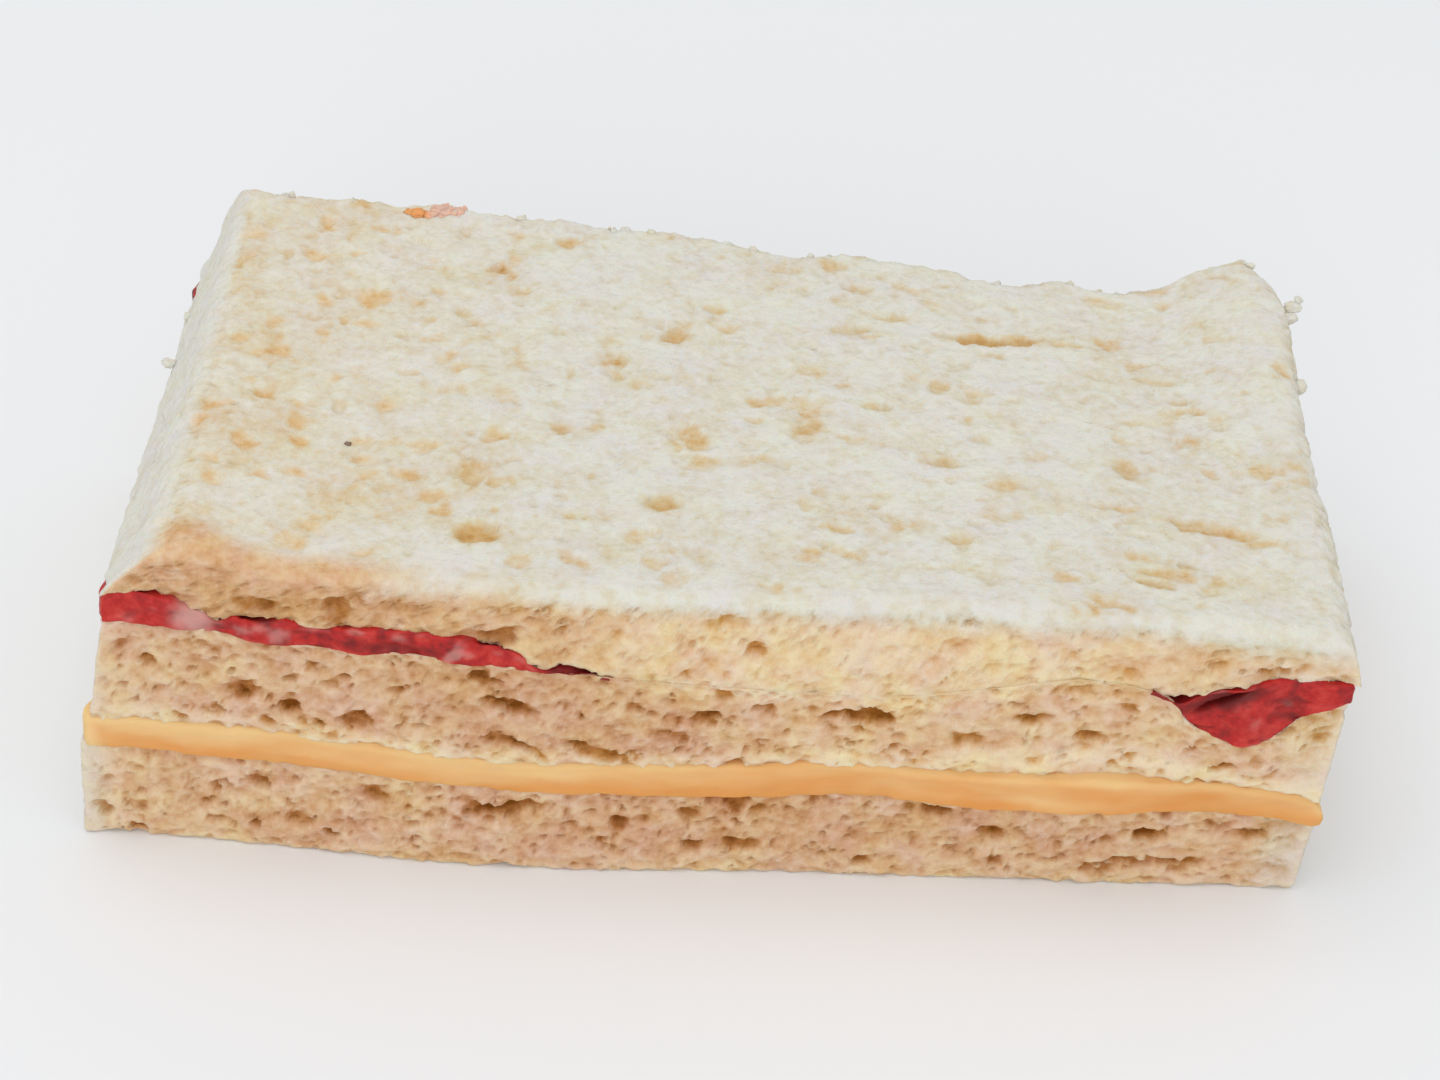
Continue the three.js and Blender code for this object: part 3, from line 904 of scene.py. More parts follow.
@dataclass(frozen=True)
class CuredSalami(Finish):
    """Cured salami, sliced thin.

    To the eye it is moist deep red meat with a soft shine, flecks of pale fat and dark fibres, with
    painted shade in its folds.
    """

    name: str = "cured_salami_sliced"
    roughness: float = 0.5
    specular: float = 0.3
    soft_weight: float = 0.2
    soft_radius: Triple = (1.0, 0.3, 0.2)
    meat: Stops = ((0.3, "#7C1617"), (0.5, "#B6201D"), (0.7, "#CF4037"))
    fat: str = "#CC9990"
    # The dark colour serves the meat's dark fibres and painted shade in folds, hollows and gaps.
    dark: str = "#5A1512"
    fleck_mm: float = 1.6
    fibre_mm: float = 0.5
    bump_mm: float = 0.1

    def looks(self, tree: bpy.types.NodeTree) -> dict[str, object]:
        """Lay out the colour and the relief.

        The mark "fat" is 1 on fat, and "dark" is 1 on dark fibres and, as painted shade, down in
        folds, hollows and gaps.

        Args:
            tree: the material's node tree.

        Returns:
            The shader's colour and relief.
        """
        place = add_node(tree, "ShaderNodeTexCoord").outputs["Object"]
        fleck, fibre = (
            add_node(tree, "ShaderNodeTexNoise", {}, {
                "Vector": place, "Scale": 1 / (size * MM), "Detail": detail, "Roughness": roughness,
            }).outputs["Fac"]
            for size, detail, roughness in ((self.fleck_mm, 4.0, 0.6), (self.fibre_mm, 3.0, 0.5))
        )
        colour = add_node(tree, "ShaderNodeValToRGB", {}, {"Fac": fleck}, self.meat).outputs["Color"]
        for mark, over in (("fat", self.fat), ("dark", self.dark)):
            share = add_node(tree, "ShaderNodeAttribute", {"attribute_name": mark}).outputs["Fac"]
            colour = add_node(
                tree, "ShaderNodeMix", {"data_type": "RGBA"},
                {"Factor": share, MIX_A: colour, MIX_B: linear(over)},
            ).outputs[MIX_RESULT]
        relief = add_node(
            tree, "ShaderNodeBump", {}, {"Strength": 0.5, "Distance": self.bump_mm * MM, "Height": fibre},
        ).outputs["Normal"]
        return {"Base Color": colour, "Normal": relief}


@dataclass(frozen=True)
class OilyScrap(Finish):
    """Fat torn off a cured sausage.

    To the eye it is soft and a little greasy, orange where oil has soaked it and salmon pink beyond.
    """

    name: str = "cured_fat_torn"
    soft_weight: float = 0.3
    orange: str = "#EA9F63"
    salmon: str = "#E9B7A2"

    def looks(self, tree: bpy.types.NodeTree) -> dict[str, object]:
        """Lay out the colour. The mark "fat" is 1 on the pink half.

        Args:
            tree: the material's node tree.

        Returns:
            The shader's colour.
        """
        fat = add_node(tree, "ShaderNodeAttribute", {"attribute_name": "fat"}).outputs["Fac"]
        stops = ((0.0, self.orange), (1.0, self.salmon))
        return {"Base Color": add_node(tree, "ShaderNodeValToRGB", {}, {"Fac": fat}, stops).outputs["Color"]}


def crowded(shares: Array) -> Array:
    """Return shares of a layer's thickness that lie closer together near its foot and its head."""
    return (1 - np.cos(np.pi * shares[:, 2])) / 2


@dataclass
class Layer:
    """One layer of the sandwich: a closed surface whose corners a box's corners are moved to.

    The radii are those of the round rims at its foot and its head.
    """

    form: Form
    node: str
    name: str
    shell: Shell
    foot_radius: float
    head_radius: float
    slot: str

    def left(self, v: Array, w: Array) -> Array:
        """Return where the left end stands along X."""
        raise NotImplementedError

    def right(self, v: Array, w: Array) -> Array:
        """Return where the right end stands along X."""
        raise NotImplementedError

    def front(self, x: Array) -> Array:
        """Return how far the front cut stands behind the bowed line that all the layers follow."""
        return np.zeros_like(x)

    def back(self, x: Array, w: Array) -> Array:
        """Return how far the back cut stands behind its straight line."""
        return np.zeros_like(x)

    def lower(self, x: Array, y: Array) -> Array:
        """Return the height of the layer's foot."""
        raise NotImplementedError

    def upper(self, x: Array, y: Array) -> Array:
        """Return the height of the layer's head."""
        raise NotImplementedError

    def inset(self, height: Array, thickness: Array) -> Array:
        """Work out how far the sides draw in, for a quarter circle at the foot and at the head.

        Args:
            height: heights above the foot.
            thickness: how thick the layer is there.

        Returns:
            The distance that each side draws in by.
        """
        foot = np.clip(1 - height / self.foot_radius, 0.0, 1.0)
        head = np.clip(1 - (thickness - height) / self.head_radius, 0.0, 1.0)
        at_foot = self.foot_radius * (1 - np.sqrt(1 - foot**2))
        return at_foot + self.head_radius * (1 - np.sqrt(1 - head**2))

    def place(self, shares: Array) -> Array:
        """Move the box's corners to the layer's form.

        X and Y go evenly from one side to the other, after the sides have drawn in at the rims, and
        Z goes evenly from the foot to the head. Heights are closer together at the two rims.

        Args:
            shares: each corner's shares of the box along X, Y and Z.

        Returns:
            The corners in millimetres.
        """
        form = self.form
        u, v = shares[:, 0], shares[:, 1]
        w = crowded(shares)
        rough_x = lerp(self.left(v, w), self.right(v, w), u)
        rough_y = lerp(form.front, form.back, v)
        foot = self.lower(rough_x, rough_y)
        thickness = self.upper(rough_x, rough_y) - foot
        inset = self.inset(thickness * w, thickness)
        x = lerp(self.left(v, w) + inset, self.right(v, w) - inset, u)
        near = form.front_cut(x, foot + thickness * w) + self.front(x) + inset
        y = lerp(near, form.back + self.back(x, w) - inset, v)
        z = lerp(self.lower(x, y), self.upper(x, y), w)
        return np.stack([x, y, z], axis=1)

    def finish_surface(self, shares: Array, points: Array, outward: Array) -> tuple[Array, Marks]:
        """Give the smooth form its relief and the marks that its material reads."""
        return points, {}

    def build(self, material: bpy.types.Material) -> bpy.types.Object:
        """Make the layer's piece.

        Args:
            material: the layer's finish.

        Returns:
            The piece, in place of its solid.
        """
        shares, corners, sizes, fine = self.shell.build()
        smooth = self.place(shares)
        points, marks = self.finish_surface(shares, smooth, outward_directions(smooth, fine))
        return make_piece(self.name, points, corners, sizes, marks, material, self.slot, (self.node,))


@dataclass
class BreadSlice(Layer):
    """A slice of white bread, whose shown sides open into the bubbles of its crumb.

    Each standing pore is its place along X and Z on the front cut, its half sizes along, into and up
    the cut, and its tilt. Each scatter comes with the side that it lies on, and each foam with the
    share of its depth that is used.
    """

    slot: str = "bread"
    standing: Rows = ()
    scatters: tuple[tuple[Side, Scatter], ...] = ()
    foams: tuple[tuple[Foam, float], ...] = (
        (Foam(3.4, (0.14, 0.42), 0.5, 100), 1.0),
        (Foam(1.9, (0.22, 0.46), 0.7, 200), 0.8),
        (Foam(1.1, (0.28, 0.5), 0.85, 300), 0.6),
    )
    rough_size: Triple = (104.0, 55.0, 9.0)
    # Where scattered pores lie along X on the cuts, and where the two ends stand for them.
    pore_reach: Span = (-50.0, 50.0)
    pore_ends: Span = (-52.9, 52.0)
    # How far they keep from a cut's foot and head, and from an end's sides and its foot and head.
    cut_margin: Span = (1.0, 1.0)
    end_margin: Span = (3.0, 1.5)
    # Half their height as a share of the radius, the front cut's mean bow as a share of the line's,
    # and the shares of the drawn turn that tilt a pore on a cut and turn it on an end.
    pore_height: float = 0.6
    mean_lean: float = 0.8
    cut_tilt: float = 0.4
    end_swing: float = 0.2
    # How much the bubbles are flattened, lean along X, and are drawn out towards the right.
    squash: float = 1.5
    lean: float = 0.15
    drawn_out: float = 0.004
    # The depth that no pore passes, the share of its own depth that a wide pore gets, how dark a
    # deep pore is painted with shade, and the depth at which it is that dark.
    deepest: float = 1.3
    listed_share: float = 0.85
    pore_shade: float = 0.75
    full_shade_mm: float = 1.2
    # How far below the foot the rim is taken to be, as a share of the height, and the distances
    # over which the crumb opens, away from the upright corners and from the rims.
    open_foot: float = 0.0
    corner_mm: float = 1.6
    rim_mm: Span = (0.1, 1.2)
    # How much an end faces along X where the knife begins to press it, and where it presses fully.
    knife_turn: Span = (0.45, 0.85)

    def cut_hollow(self, entry: tuple[float, ...]) -> Hollow:
        """Make a standing pore of the front cut.

        Args:
            entry: its place, its half sizes and its tilt.

        Returns:
            The pore.
        """
        x, z, length, depth, height, tilt = entry
        return Hollow((x, float(self.form.front_cut(x, z)), z), (length, depth, height), 0.0, tilt)

    def on_cut(self, side: Side, drawn: Drawn) -> Hollow:
        """Put a drawn pore on the front or the back cut.

        Args:
            side: which of the two cuts.
            drawn: the pore as it was drawn.

        Returns:
            The pore in its place.
        """
        x = lerp(*self.pore_reach, drawn.u)
        y = self.form.back
        if side is Side.FRONT:
            y = self.form.front + float(self.form.bow(x)) * self.mean_lean
        foot = height_at(self.lower, x, y) + self.cut_margin[0]
        head = height_at(self.upper, x, y) - self.cut_margin[1]
        half = (drawn.radius * drawn.stretch, drawn.radius, drawn.radius * self.pore_height)
        return Hollow((x, y, lerp(foot, head, drawn.v)), half, 0.0, drawn.turn * self.cut_tilt)

    def on_end(self, side: Side, drawn: Drawn) -> Hollow:
        """Put a drawn pore on the left or the right end.

        Args:
            side: which of the two ends.
            drawn: the pore as it was drawn.

        Returns:
            The pore in its place.
        """
        x = self.pore_ends[0] if side is Side.LEFT else self.pore_ends[1]
        y = lerp(self.form.front + self.end_margin[0], self.form.back - self.end_margin[0], drawn.u)
        foot = height_at(self.lower, x, y) + self.end_margin[1]
        head = height_at(self.upper, x, y) - self.end_margin[1]
        half = (drawn.radius, drawn.radius * drawn.stretch, drawn.radius * self.pore_height)
        return Hollow((x, y, lerp(foot, head, drawn.v)), half, drawn.turn * self.end_swing, 0.0)

    def hollows(self) -> list[Hollow]:
        """List the wide pores.

        Returns:
            The standing pores, and those that are scattered over the cut sides.
        """
        found = [self.cut_hollow(entry) for entry in self.standing]
        for side, scatter in self.scatters:
            place = self.on_cut if side in (Side.FRONT, Side.BACK) else self.on_end
            found += scatter.hollows(partial(place, side))
        return found

    def stretched(self, points: Array) -> Array:
        """Turn places into the crumb's own space, where its flattened bubbles are round.

        The bubbles are flatter towards the right, where the bread is pressed and drawn along X: a
        place x there counts as x less drawn_out times its square.

        Args:
            points: places in millimetres.

        Returns:
            The places in the crumb's own space.
        """
        x = points[:, 0]
        drawn = np.where(x < 0, x, x - self.drawn_out * x**2)
        return np.stack([drawn, points[:, 1], (points[:, 2] + self.lean * x) * self.squash], axis=1)

    def bubble_depth(self, points: Array, outward: Array) -> Array:
        """Work out how far each point sinks into the bubbles that the cut has opened.

        Wide and narrow swells shift the places first, so that no bubble is quite round.

        Args:
            points: places on the cut.
            outward: unit directions out of it.

        Returns:
            The depth of the deepest bubble at each point.
        """
        wide = noise_columns(points, 2.0, (40, 41, 42), 1)
        narrow = noise_columns(points, 0.8, (50, 51, 52), 1)
        here = (self.stretched(points) + 0.9 * wide + 0.45 * narrow) @ SKEW
        along = 1 - 2 * self.drawn_out * np.maximum(points[:, 0], 0)
        upright = (outward[:, 2] + self.lean * outward[:, 0]) * self.squash
        inward = -np.stack([outward[:, 0] * along, outward[:, 1], upright], axis=1) @ SKEW
        deepest = np.zeros(len(points))
        for foam, share in self.foams:
            deepest = np.maximum(deepest, share * foam.openings(here, inward)[0])
        return deepest

    def fine_depth(self, points: Array) -> Array:
        """Work out the depth of the fine crumb.

        It follows sqrt(n^2 + 0.01) for random swells n, which is small where n is near 0, so that
        those lines stand up as thin round-topped walls between small pits.

        Args:
            points: places on the smooth form.

        Returns:
            The depth at each point.
        """
        here = self.stretched(points)
        wide = np.hypot(smooth_noise(here, 1.9, 90), 0.1)
        narrow = np.hypot(smooth_noise(here, 0.95, 91), 0.1)
        return 0.4 * wide + 0.45 * narrow - 0.05

    def calm(self, shares: Array, points: Array, outward: Array) -> Array:
        """Work out how open the crumb is.

        Args:
            shares: each corner's shares of the box.
            points: the smooth form.
            outward: unit directions out of it.

        Returns:
            1 on open crumb and less beside the rims and the upright corners.
        """
        width, depth, height = self.rough_size
        to_rim = height * np.minimum(shares[:, 2] + self.open_foot, 1 - shares[:, 2])
        to_end = width * np.minimum(shares[:, 0], 1 - shares[:, 0])
        to_cut = depth * np.minimum(shares[:, 1], 1 - shares[:, 1])
        at_corner = 1 - smoothstep(np.maximum(to_end, to_cut), 0.0, self.corner_mm)
        return (0.4 + 0.6 * smoothstep(to_rim, *self.rim_mm)) * (1 - 0.8 * at_corner)

    def finish_surface(self, shares: Array, points: Array, outward: Array) -> tuple[Array, Marks]:
        """Sink the surface into its pores and roughen it.

        Each corner moves inwards by the deepest pore or bubble at it, by the pits of the fine crumb
        and by small swells.

        Args:
            shares: each corner's shares of the box.
            points: the smooth form.
            outward: unit directions out of it.

        Returns:
            The corners in place, and the marks "pore", "cut" and "cream".
        """
        shown = np.linalg.norm(outward, axis=1) > 0.5
        ragged = 0.9 * noise_columns(points, 1.6, (60, 65, 70))
        listed = np.zeros(len(points))
        for hollow in self.hollows():
            listed = np.maximum(listed, hollow.depth(points, -outward, ragged))
        calm = self.calm(shares, points, outward)
        depth = np.zeros(len(points))
        depth[shown] = self.bubble_depth(points[shown], outward[shown]) * calm[shown]
        depth = np.maximum(depth, self.listed_share * listed)
        depth = self.deepest * (1 - np.exp(-depth / self.deepest))
        fine = self.fine_depth(points) * calm
        swell = 0.16 * layered_noise(points, 3.0, 70) + 0.1 * layered_noise(points, 0.9, 80)
        moved = points + outward * (swell + 0.12 - depth - fine)[:, None]
        moved[:, 2] = np.maximum(moved[:, 2], 0.0)
        cut, cream, dim = self.tones(points, outward)
        # The mark "pore" is painted shade, darker the deeper a corner lies in a pore or in the fine crumb;
        # each slice's dim darkens or lightens it further, partly as painted shade or light.
        pore = self.pore_shade * (depth / self.full_shade_mm) ** 0.8 + 0.7 * fine
        pore = np.clip(pore + dim * (1 - np.clip(pore, 0.0, 1.0)), 0.0, 1.0)
        return moved, {"pore": pore, "cut": cut, "cream": cream}

    def pressed(self, outward: Array) -> Array:
        """Return how much of its warm colour the crumb has lost on the two ends, which the knife pressed."""
        return 0.85 * smoothstep(np.abs(outward[:, 0]), *self.knife_turn)

    def tones(self, points: Array, outward: Array) -> tuple[Array, Array, Array]:
        """Return how much of the cut side's painted shade each corner takes, how yellow and how dim."""
        raise NotImplementedError


@dataclass
class BreadBottom(BreadSlice):
    """The lowest slice, with a flat underside.

    Its cut takes the warm, darker colours of painted shade, paler at the two ends of the front, and
    lighter with painted light towards the left end; the middle of its upper part is darker with the
    painted shadow of the cheese above it.
    """

    node: str = "bread_bottom"
    name: str = "bread_bottom_crumb"
    shell: Shell = Shell((400, 208, 36))
    foot_radius: float = 0.6
    head_radius: float = 0.15
    standing: Rows = (
        (19.1, 7.7, 1.5, 2.6, 0.8, 0.3),
        (24.2, 5.3, 1.9, 2.4, 0.9, 0.4),
        (37.9, 5.6, 1.6, 1.9, 0.7, 0),
        (-17.0, 6.7, 4.4, 1.8, 0.6, -0.1),
        (-28.5, 7.3, 1.6, 1.2, 0.9, 0.2),
        (-35.0, 3.3, 1.7, 1.2, 0.9, -0.2),
        (38.0, 2.6, 6.2, 1.8, 0.5, 0),
    )
    scatters: tuple[tuple[Side, Scatter], ...] = (
        (Side.FRONT, Scatter(11, 18, 2, 0.58, (0.6, 1.1))),
        (Side.BACK, Scatter(12, 18, 2, 0.3, (0.6, 1.1))),
        (Side.LEFT, Scatter(13, 7, 1, 0.58, (0.6, 1.1))),
        (Side.RIGHT, Scatter(14, 7, 1, 0.58, (0.6, 1.1))),
    )
    pore_shade: float = 0.92
    # Where each change of colour begins and where it is complete.
    pale_right: Span = (45.5, 50.0)
    pale_left: Span = (-50.0, -53.0)
    lit_left: Span = (-42.0, -50.0)
    # The dim span and heights give where the painted shadow under the cheese reaches, along X and up the
    # slice.
    dim_from: Span = (-20.0, -6.0)
    dim_to: Span = (34.0, 20.0)
    dim_heights: Span = (1.5, 4.0)
    yellow_heights: Span = (2.0, 0.3)

    def left(self, v: Array, w: Array) -> Array:
        """Return where the left end stands along X."""
        return -53.3 + 0.2 * w + 0.5 * v

    def right(self, v: Array, w: Array) -> Array:
        """Return where the right end stands along X."""
        return 51.4 + 0.5 * w - 0.4 * v

    def back(self, x: Array, w: Array) -> Array:
        """Return how far the back cut stands behind its straight line."""
        return 0.3 * np.sin(0.13 * x)

    def lower(self, x: Array, y: Array) -> Array:
        """Return the height of the table."""
        return np.zeros_like(x)

    def upper(self, x: Array, y: Array) -> Array:
        """Return the height of the slice's top, which sinks a little into the cheese."""
        return self.form.cheese_underside(x, y) + self.form.overlap

    def tones(self, points: Array, outward: Array) -> tuple[Array, Array, Array]:
        """Colour the crumb.

        Args:
            points: the smooth form.
            outward: unit directions out of it.

        Returns:
            How warm, how yellow and how dim each corner is.
        """
        x, z = points[:, 0], points[:, 2]
        near_ends = 0.6 * np.maximum(smoothstep(x, *self.pale_right), smoothstep(x, *self.pale_left))
        wander = 4 * layered_noise(points, 6.0, 110)
        middle = smoothstep(x + wander, *self.dim_from) * smoothstep(x - wander, *self.dim_to)
        # Painted shadow under the cheese in the middle of the upper part, and painted light towards the left
        # end.
        dim = 0.12 * middle * smoothstep(z, *self.dim_heights) - 0.07 * smoothstep(x, *self.lit_left)
        yellow = 0.25 * smoothstep(z, *self.yellow_heights)
        return 1 - np.maximum(near_ends, self.pressed(outward)), yellow, dim


@dataclass
class BreadMiddle(BreadSlice):
    """The middle slice, pressed in under the folded salami.

    Its cut takes the warm, darker colours of painted shade, and is yellow towards the right and pale
    yellow in a seam below the top slice. The pale yellow band and ledge above the cheese are painted
    light thrown back from the cheese, and the left end is lighter with painted light.
    """

    node: str = "bread_middle"
    name: str = "bread_middle_crumb"
    shell: Shell = Shell((400, 208, 36))
    foot_radius: float = 0.15
    head_radius: float = 0.08
    standing: Rows = (
        (-39.6, 16.9, 1.9, 1.2, 1.0, 0.3),
        (-17.7, 17.3, 3.2, 1.5, 0.7, 0.1),
        (-1.1, 16.9, 1.6, 1.2, 0.9, -0.2),
        (12.0, 17.7, 3.3, 2.3, 0.8, 0),
        (26.0, 18.1, 2.2, 1.5, 0.7, -0.1),
        (-30.0, 14.9, 1.6, 1.1, 0.8, 0),
        (-16.9, 13.3, 3.2, 1.3, 0.6, 0.45),
        (-9.8, 12.7, 4.5, 1.3, 0.6, 0.36),
    )
    scatters: tuple[tuple[Side, Scatter], ...] = (
        (Side.FRONT, Scatter(21, 18, 2, 0.58, (0.6, 1.1))),
        (Side.BACK, Scatter(22, 18, 2, 0.3, (0.6, 1.1))),
        (Side.LEFT, Scatter(23, 7, 1, 0.58, (0.6, 1.1))),
        (Side.RIGHT, Scatter(24, 7, 1, 0.58, (0.6, 1.1))),
    )
    pore_ends: Span = (-52.2, 52.3)
    listed_share: float = 1.0
    pore_shade: float = 1.05
    # Where each change of colour begins and where it is complete. The band's rise has its height, its
    # place along X and its width.
    pale_right: Span = (46.5, 51.0)
    pale_left: Span = (-50.0, -52.5)
    lit_left: Span = (-42.0, -50.0)
    yellow_from: Span = (-4.0, 8.0)
    band_from: Span = (-8.0, 12.0)
    band_heights: Span = (2.6, 0.6)
    band_rise: Triple = (1.5, 31.0, 9.0)
    band_dim_from: Span = (14.0, 24.0)
    ledge_heights: Span = (1.8, 0.5)
    seam_from: Span = (-10.0, 0.0)
    seam_to: Span = (32.0, 24.0)
    seam_depths: Span = (2.2, 0.4)

    def left(self, v: Array, w: Array) -> Array:
        """Return where the left end stands along X."""
        return -52.2 + 1.5 * w + 0.2 * v

    def right(self, v: Array, w: Array) -> Array:
        """Return where the right end stands along X."""
        return 51.9 + 0.3 * w - 0.3 * v

    def back(self, x: Array, w: Array) -> Array:
        """Return how far the back cut stands behind its straight line."""
        return 0.3 * np.sin(0.11 * x + 2)

    def lower(self, x: Array, y: Array) -> Array:
        """Return the height of the slice's underside, which sinks a little into the cheese."""
        return self.form.cheese_top(x, y) - self.form.overlap

    def upper(self, x: Array, y: Array) -> Array:
        """Return the height of the slice's top, which sinks a little into what lies on it."""
        return self.form.middle_top(x, y) + self.form.overlap

    def tones(self, points: Array, outward: Array) -> tuple[Array, Array, Array]:
        """Colour the crumb.

        Args:
            points: the smooth form.
            outward: unit directions out of it.

        Returns:
            How warm, how yellow and how dim each corner is.
        """
        x, y, z = points.T
        above = z - self.form.cheese_top(x, y)
        below = self.form.middle_top(x, y) - z
        wander = 0.8 * layered_noise(points, 5.0, 120)
        # The band and the ledge above the cheese are painted light thrown back from it, reaching higher over
        # the bulge round x = 31 mm.
        rise, rise_at, rise_width = self.band_rise
        raised = bump(x, rise_at, rise_width)
        band = smoothstep(above + wander - rise * raised, *self.band_heights)
        band = band * smoothstep(x, *self.band_from)
        ledge = 0.75 * smoothstep(above + 0.4 * wander, *self.ledge_heights)
        right = 0.35 * smoothstep(x, *self.yellow_from)
        seam = 0.75 * smoothstep(below + wander, *self.seam_depths)
        seam = seam * smoothstep(x, *self.seam_from) * smoothstep(x, *self.seam_to)
        near_ends = 0.45 * np.maximum(smoothstep(x, *self.pale_right), smoothstep(x, *self.pale_left))
        pressed = self.pressed(outward)
        cream = np.maximum.reduce([0.9 * band, ledge, right, seam]) * (1 - pressed)
        # Darker round x = -14 mm; lighter with painted light in the band, on the ledge and towards the left
        # end.
        dim = 0.1 * bump(x, -14.0, 20.0) - 0.16 * band * smoothstep(x, *self.band_dim_from)
        dim = dim - 0.07 * smoothstep(x, *self.lit_left) - 0.12 * ledge - 0.1 * band * raised
        return 1 - np.maximum(near_ends, pressed), cream, dim


@dataclass
class BreadTop(BreadSlice):
    """The top slice, with a round front rim, a sloping left end, a cut-off far corner and a torn back edge.

    Each crater of its top is its place along X and Y, its half sizes along, across and down, and its
    turn. Thirteen of them are in the solid too, up to 3 mm aside from here.
    Its cut takes the cut side's painted shade, which at the left reaches up over the front rim as the
    painted shade of a sloping rim; it is yellow in the middle and pale at the right.
    """

    node: str = "bread_top"
    name: str = "bread_top_crumb"
    shell: Shell = Shell((360, 184, 24), (Side.FOOT,))
    foot_radius: float = 0.03
    head_radius: float = 1.7
    standing: Rows = (
        (-38.4, 25.3, 2.2, 2.0, 1.0, 0.1),
        (-31.6, 25.9, 1.4, 2.6, 1.6, 0),
        (-18.4, 24.1, 1.8, 4.5, 1.0, 0.2),
        (0, 26.9, 2.6, 1.2, 0.8, -0.2),
        (19.2, 25.3, 1.7, 1.2, 0.9, 0),
    )
    craters: Rows = (
        (-22.0, -12.2, 1.9, 2.0, 1.4, 0),
        (-20.7, -20.0, 2.2, 1.6, 2.1, 0.4),
        (-21.8, 18.5, 1.4, 1.0, 1.3, 0),
        (-5.0, 10.5, 1.6, 1.2, 1.2, 0.3),
        (-10.5, 5.8, 2.0, 1.5, 0.9, 0.2),
        (-5.9, -14.5, 2.2, 1.3, 1.3, 0.1),
        (6.5, -1.6, 2.3, 1.4, 0.8, -0.1),
        (24.3, 14.9, 5.8, 0.9, 2.1, 0.06),
        (40.4, -12.1, 4.2, 0.9, 1.2, -0.3),
        (35.8, -20.8, 2.0, 0.8, 1.4, -0.1),
        (38.6, -17.6, 1.2, 0.8, 1.1, 0),
        (34.8, -4.6, 1.7, 1.6, 0.9, -0.6),
        (13.3, 2.0, 1.6, 0.7, 1.1, 0.2),
        (41.1, 6.8, 1.8, 0.7, 0.8, 0),
        (18.7, 6.4, 1.4, 1.0, 0.9, 0),
        (18.4, -5.5, 2.6, 1.1, 0.7, 0),
        (10.9, 13.9, 2.7, 1.0, 0.7, 0.2),
        (-14.5, -4.9, 1.6, 1.0, 0.9, 0),
        (19.3, -16.7, 2.0, 1.1, 0.7, 0.3),
    )
    scatters: tuple[tuple[Side, Scatter], ...] = (
        (Side.FRONT, Scatter(32, 16, 1, 0.8, (0.6, 1.0))),
        (Side.BACK, Scatter(33, 12, 1, 0.6, (0.6, 1.0))),
    )
    top_scatter: Scatter = Scatter(31, 15, 8, 0.66, (0.6, 1.2))
    # Where the top's scattered pores lie along X, how far they keep from the front and the back,
    # their half height and the share of it that is used, and how high up a crater's middle is.
    top_reach: Span = (-44.0, 50.0)
    top_margin: Span = (2.5, 3.0)
    top_pore_height: float = 0.9
    top_share: float = 0.45
    crater_lift: float = 0.2
    cut_margin: Span = (1.0, 2.5)
    dots: Foam = Foam(3.7, (0.28, 0.5), 0.85, 170)
    listed_share: float = 0.55
    deepest: float = 1.0
    open_foot: float = 1.0
    # How far the left end slopes in, at the front and at the back, and how the far corner is cut off.
    slope: Span = (5.1, 4.3)
    corner_from: float = 0.86
    corner_cut: float = 3.4
    # Where each change of relief or colour begins and where it is complete.
    skin_depths: Span = (-1.5, -0.2)
    smeared_turn: Span = (0.25, 0.6)
    rim_turn: Span = (0.2, 0.7)
    top_turn: Span = (0.75, 0.95)
    shaded_rim_from: Span = (-22.0, -32.0)
    shaded_rim_wider: Span = (-38.0, -45.0)
    pale_right: Span = (38.0, 50.0)
    yellow_from: Span = (-22.0, -2.0)
    less_yellow: Span = (30.0, 42.0)
    warm_left: Span = (-10.0, -40.0)
    dim_right: Span = (24.0, 34.0)
    orange_left: Span = (-12.0, -38.0)
    torn_reach: Span = (3.5, 1.0)
    # How far in front of the middle the painted shade of the sloping front rim begins, and where it is
    # wider.
    shaded_rim_reach: Span = (23.4, 21.0)

    def left(self, v: Array, w: Array) -> Array:
        """Return where the left end stands along X."""
        return -50.8 + lerp(*self.slope, v) * w

    def right(self, v: Array, w: Array) -> Array:
        """Return where the right end stands along X, with the far corner of the top cut off."""
        corner = np.clip((v - self.corner_from) / (1 - self.corner_from), 0.0, 1.0) ** 1.5
        return 52.9 - lerp(1.3, 0.4, v) * w + 0.3 * np.sin(9 * v) - self.corner_cut * w * corner

    def back(self, x: Array, w: Array) -> Array:
        """Return how far the back cut stands behind its straight line."""
        return self.form.torn_edge(x) * w

    def lower(self, x: Array, y: Array) -> Array:
        """Return the height of the slice's underside."""
        return self.form.top_underside(x, y)

    def upper(self, x: Array, y: Array) -> Array:
        """Return the height of the sandwich's top."""
        return self.form.top_surface(x, y)

    def on_top(self, drawn: Drawn) -> Hollow:
        """Put a drawn pore on the top.

        Args:
            drawn: the pore as it was drawn.

        Returns:
            The pore in its place.
        """
        x = lerp(*self.top_reach, drawn.u)
        y = lerp(self.form.front + self.top_margin[0], self.form.back - self.top_margin[1], drawn.v)
        half = (drawn.radius * drawn.stretch, drawn.radius, drawn.radius * self.top_pore_height)
        return Hollow((x, y, height_at(self.upper, x, y)), half, drawn.turn, 0.0, self.top_share)

    def hollows(self) -> list[Hollow]:
        """List the wide pores.

        Returns:
            Those of the cut sides, the craters of the top and the small pores scattered between them.
        """
        craters = [
            Hollow((x, y, height_at(self.upper, x, y) + self.crater_lift), (length, width, depth), turn)
            for x, y, length, width, depth, turn in self.craters
        ]
        return [*super().hollows(), *craters, *self.top_scatter.hollows(self.on_top)]

